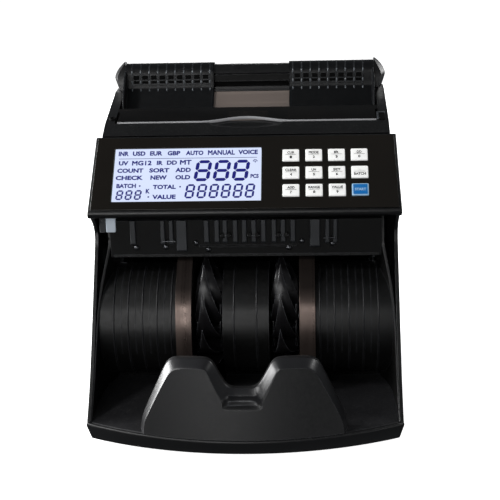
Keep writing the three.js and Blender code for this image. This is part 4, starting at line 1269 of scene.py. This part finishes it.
def hopper():
    dress("hopper_plate", PLATE, bevel=0.3)
    hopper_cover()
    note_guide(-1, "left", -110.2, -31.0, first_rib=34.6)
    note_guide(1, "right", 36.0, 110.6, first_rib=39.4)
    inner_baffle()


# ------------------------------------------------------------------ transport parts inside
TYRE_SEGMENTS = 120


def tyre(kind, name, centre, radius, x0, x1):
    """Rubber roller with moulded grooves across its tread."""
    turns = [2 * math.pi * i / TYRE_SEGMENTS for i in range(TYRE_SEGMENTS)]
    rings = []
    # x, change of radius, depth of the grooves
    for x, change, groove in ((x0, -0.9, 0), (x0 + 0.6, 0, 0), (x0 + 0.8, 0, 0.7),
                              (x1 - 0.8, 0, 0.7), (x1 - 0.6, 0, 0), (x1, -0.9, 0),
                              (x1, 4.3 - radius, 0), (x0, 4.3 - radius, 0)):
        ring = []
        for i, a in enumerate(turns):
            r = radius + change - (groove if i % 5 == 0 else 0.0)
            ring.append((x, centre[0] + r * math.cos(a), centre[1] + r * math.sin(a)))
        rings.append(ring)
    shape = Shape()
    shape.loft(rings, wrap=True)
    piece(f"{kind}_tyre_{name}", shape, [RUBBER], body=kind + "_rotor",
          stands_for=f"{kind}_roller_{name}", smooth=32)


def transport():
    for node in ("chassis_plate_left", "chassis_plate_right", "separator_bracket", "gap_screw",
                 "feed_shaft", "pickup_shaft", "motor_pulley"):
        dress(node, ZINC, bevel=0.25)
    dress("drive_motor", ZINC)
    dress("feed_pulley", SHELL, bevel=0.2)
    for node in ("separator_roller", "feed_belt", "stacker_belt", "pickup_belt"):
        dress(node, RUBBER, bevel=0.25)
    dress("main_circuit_board", BOARD, bevel=0.2)
    dress("power_inlet", LINER, bevel=0.4)
    dress("power_rocker", SHELL)
    tyre("feed", "left", (50, 165), 20, -34, -18)
    tyre("feed", "right", (50, 165), 20, 18, 34)
    tyre("pickup", "left", (77, 202), 17, -33, -19)
    tyre("pickup", "right", (77, 202), 17, 19, 33)


# ------------------------------------------------------------------ screws on the covers
SCREW_RADIUS = 2.4


def screw(shape, origin, normal, height):
    """Pan-head screw with a cross recess, standing on a face."""
    out, up = Vector(normal), Vector((0, 0, 1))
    across = out.cross(up)
    origin = Vector(origin)
    r = SCREW_RADIUS
    turns = [2 * math.pi * i / 24 for i in range(24)]
    shape.loft([[tuple(origin + out * rise + up * (radius * math.cos(a))
                       + across * (radius * math.sin(a))) for a in turns]
                for radius, rise in ((r, -0.3), (r, height * 0.45), (r * 0.86, height * 0.8),
                                     (r * 0.6, height))])
    centre = origin + out * (height + 0.02)
    for p, q in ((up, across), (across, up)):
        bar = [centre + p * a + q * b
               for a, b in rectangle(-r * .5, r * .5, -r * .09, r * .09)]
        shape.loft([[tuple(v - out * 0.2) for v in bar], [tuple(v) for v in bar]], 1)


def cover_screws():
    shape = Shape()
    for y, z in ((-8, 36), (104, 36), (-6, 150), (104, 168)):
        for side, _ in SIDES:
            screw(shape, (side * 124.6, y, z), (side, 0, 0), height=0.6)
    for x, z in ((-112, 34), (112, 34), (-112, 226), (112, 226)):
        screw(shape, (x, 126.0, z), (0, 1, 0), height=0.8)
    piece("cover_screws", shape, [ZINC, LINER], smooth=38)


# ------------------------------------------------------------------ stage, lights, camera
def stage_material(name, colour, glow):
    k = Shader(name)
    diffuse = k.node("ShaderNodeBsdfDiffuse")
    base = linear(colour)
    k.feed(diffuse.inputs["Color"], k.mix(k.span(k.noise(scale=2, detail=2), to=(0, 1)),
                                          base, [c * 0.99 for c in base]))
    emission = k.node("ShaderNodeEmission", {"Color": (1, 1, 1), "Strength": glow})
    return k.surface(k.node("ShaderNodeAddShader", {0: diffuse.outputs[0],
                                                    1: emission.outputs[0]}))


def studio_floor():
    """A white sheet seen by the camera but left out of reflections and bounced light."""
    mesh = bpy.data.meshes.new("studio_floor")
    mesh.from_pydata([(x, y, 0) for x, y in rectangle(-6.0, 6.0, -6.0, 6.0)], [],
                     [(0, 1, 2, 3)])
    floor = bpy.data.objects.new("studio_floor", mesh)
    bpy.context.scene.collection.objects.link(floor)
    mesh.materials.append(stage_material("studio_white", "#f4f4f4", glow=1.0))
    floor.visible_glossy = False
    floor.visible_diffuse = False


def background(tree, colour, strength):
    node = tree.nodes.new("ShaderNodeBackground")
    node.inputs[0].default_value = (*colour, 1)
    node.inputs[1].default_value = strength
    return node.outputs[0]


def studio_world():
    """White to the camera, a faint cool fill to everything else."""
    studio = bpy.data.worlds.new("studio")
    bpy.context.scene.world = studio
    studio.use_nodes = True
    tree = studio.node_tree
    tree.nodes.clear()
    output = tree.nodes.new("ShaderNodeOutputWorld")
    seen = background(tree, colour=(1, 1, 1), strength=1.0)
    fill = background(tree, colour=(0.9, 0.95, 1.0), strength=0.10)
    path = tree.nodes.new("ShaderNodeLightPath")
    mix = tree.nodes.new("ShaderNodeMixShader")
    tree.links.new(path.outputs["Is Camera Ray"], mix.inputs[0])
    tree.links.new(fill, mix.inputs[1])
    tree.links.new(seen, mix.inputs[2])
    tree.links.new(mix.outputs[0], output.inputs["Surface"])


# name, place and aim in metres, width, height, watts
SOFTBOXES = (
    ("key_left", (-1.2, 0.30, 0.36), (0, -0.06, 0.1), 0.95, 0.6, 42),
    ("front_top", (-0.35, -1.35, 0.74), (0, -0.05, 0.12), 0.9, 0.32, 4.0),
    ("front_low", (-0.30, -1.55, 0.2), (0, 0, 0.1), 0.45, 0.4, 2.7),
    ("front_right", (1.15, -1.0, 0.10), (0.05, -0.1, 0.03), 0.3, 0.16, 1.3),
    ("top_left", (-0.95, -0.5, 1.15), (0.05, -0.06, 0.03), 0.3, 0.3, 8),
    ("right_back", (0.95, 0.95, 0.5), (0, 0.05, 0.2), 0.4, 0.5, 4.5),
    ("right_high", (1.15, 0.35, 1.15), (0.1, 0.05, 0.12), 0.3, 0.3, 4),
    ("back_soft", (-0.2, 1.6, 0.3), (0, 0.1, 0.1), 0.8, 0.5, 5),
)


def softbox(name, place, aim, width, height, watts):
    light = bpy.data.lights.new(name, "AREA")
    light.shape = "RECTANGLE"
    light.size, light.size_y = width, height
    light.energy = watts
    thing = bpy.data.objects.new(name, light)
    thing.location = place
    thing.rotation_mode = "QUATERNION"
    thing.rotation_quaternion = (Vector(place) - Vector(aim)).to_track_quat("Z", "Y")
    bpy.context.scene.collection.objects.link(thing)


def camera(target, distance, azimuth, elevation, roll):
    """Looks at target (mm) from a distance in metres; angles in degrees."""
    lens = bpy.data.cameras.new("camera")
    lens.sensor_width = 36.0
    lens.lens = 82.30
    lens.clip_start, lens.clip_end = 0.01, 50
    thing = bpy.data.objects.new("camera", lens)
    bpy.context.scene.collection.objects.link(thing)
    bpy.context.scene.camera = thing
    az, el, turn = math.radians(azimuth), math.radians(elevation), math.radians(roll)
    back = Vector((math.sin(az) * math.cos(el), -math.cos(az) * math.cos(el), math.sin(el)))
    level = Vector((math.cos(az), math.sin(az), 0))
    upright = back.cross(level)
    right = level * math.cos(turn) + upright * math.sin(turn)
    up = -level * math.sin(turn) + upright * math.cos(turn)
    thing.rotation_mode = "QUATERNION"
    thing.rotation_quaternion = Matrix((right, up, back)).transposed().to_quaternion()
    thing.location = world(*target) + back * distance


control_panel()
housing()
base_tray()
bay_liner()
wheel_wells()
spring_strips()
stacker_rotor()
outlet()
stacker_stop()
hopper()
transport()
cover_screws()
studio_floor()
studio_world()
for box in SOFTBOXES:
    softbox(*box)
camera(target=(2.457, 0, 126.874), distance=0.963143, azimuth=2.916, elevation=17.18,
       roll=-1.392)

view = bpy.context.scene.view_settings
view.view_transform = "Standard"
view.look = "None"
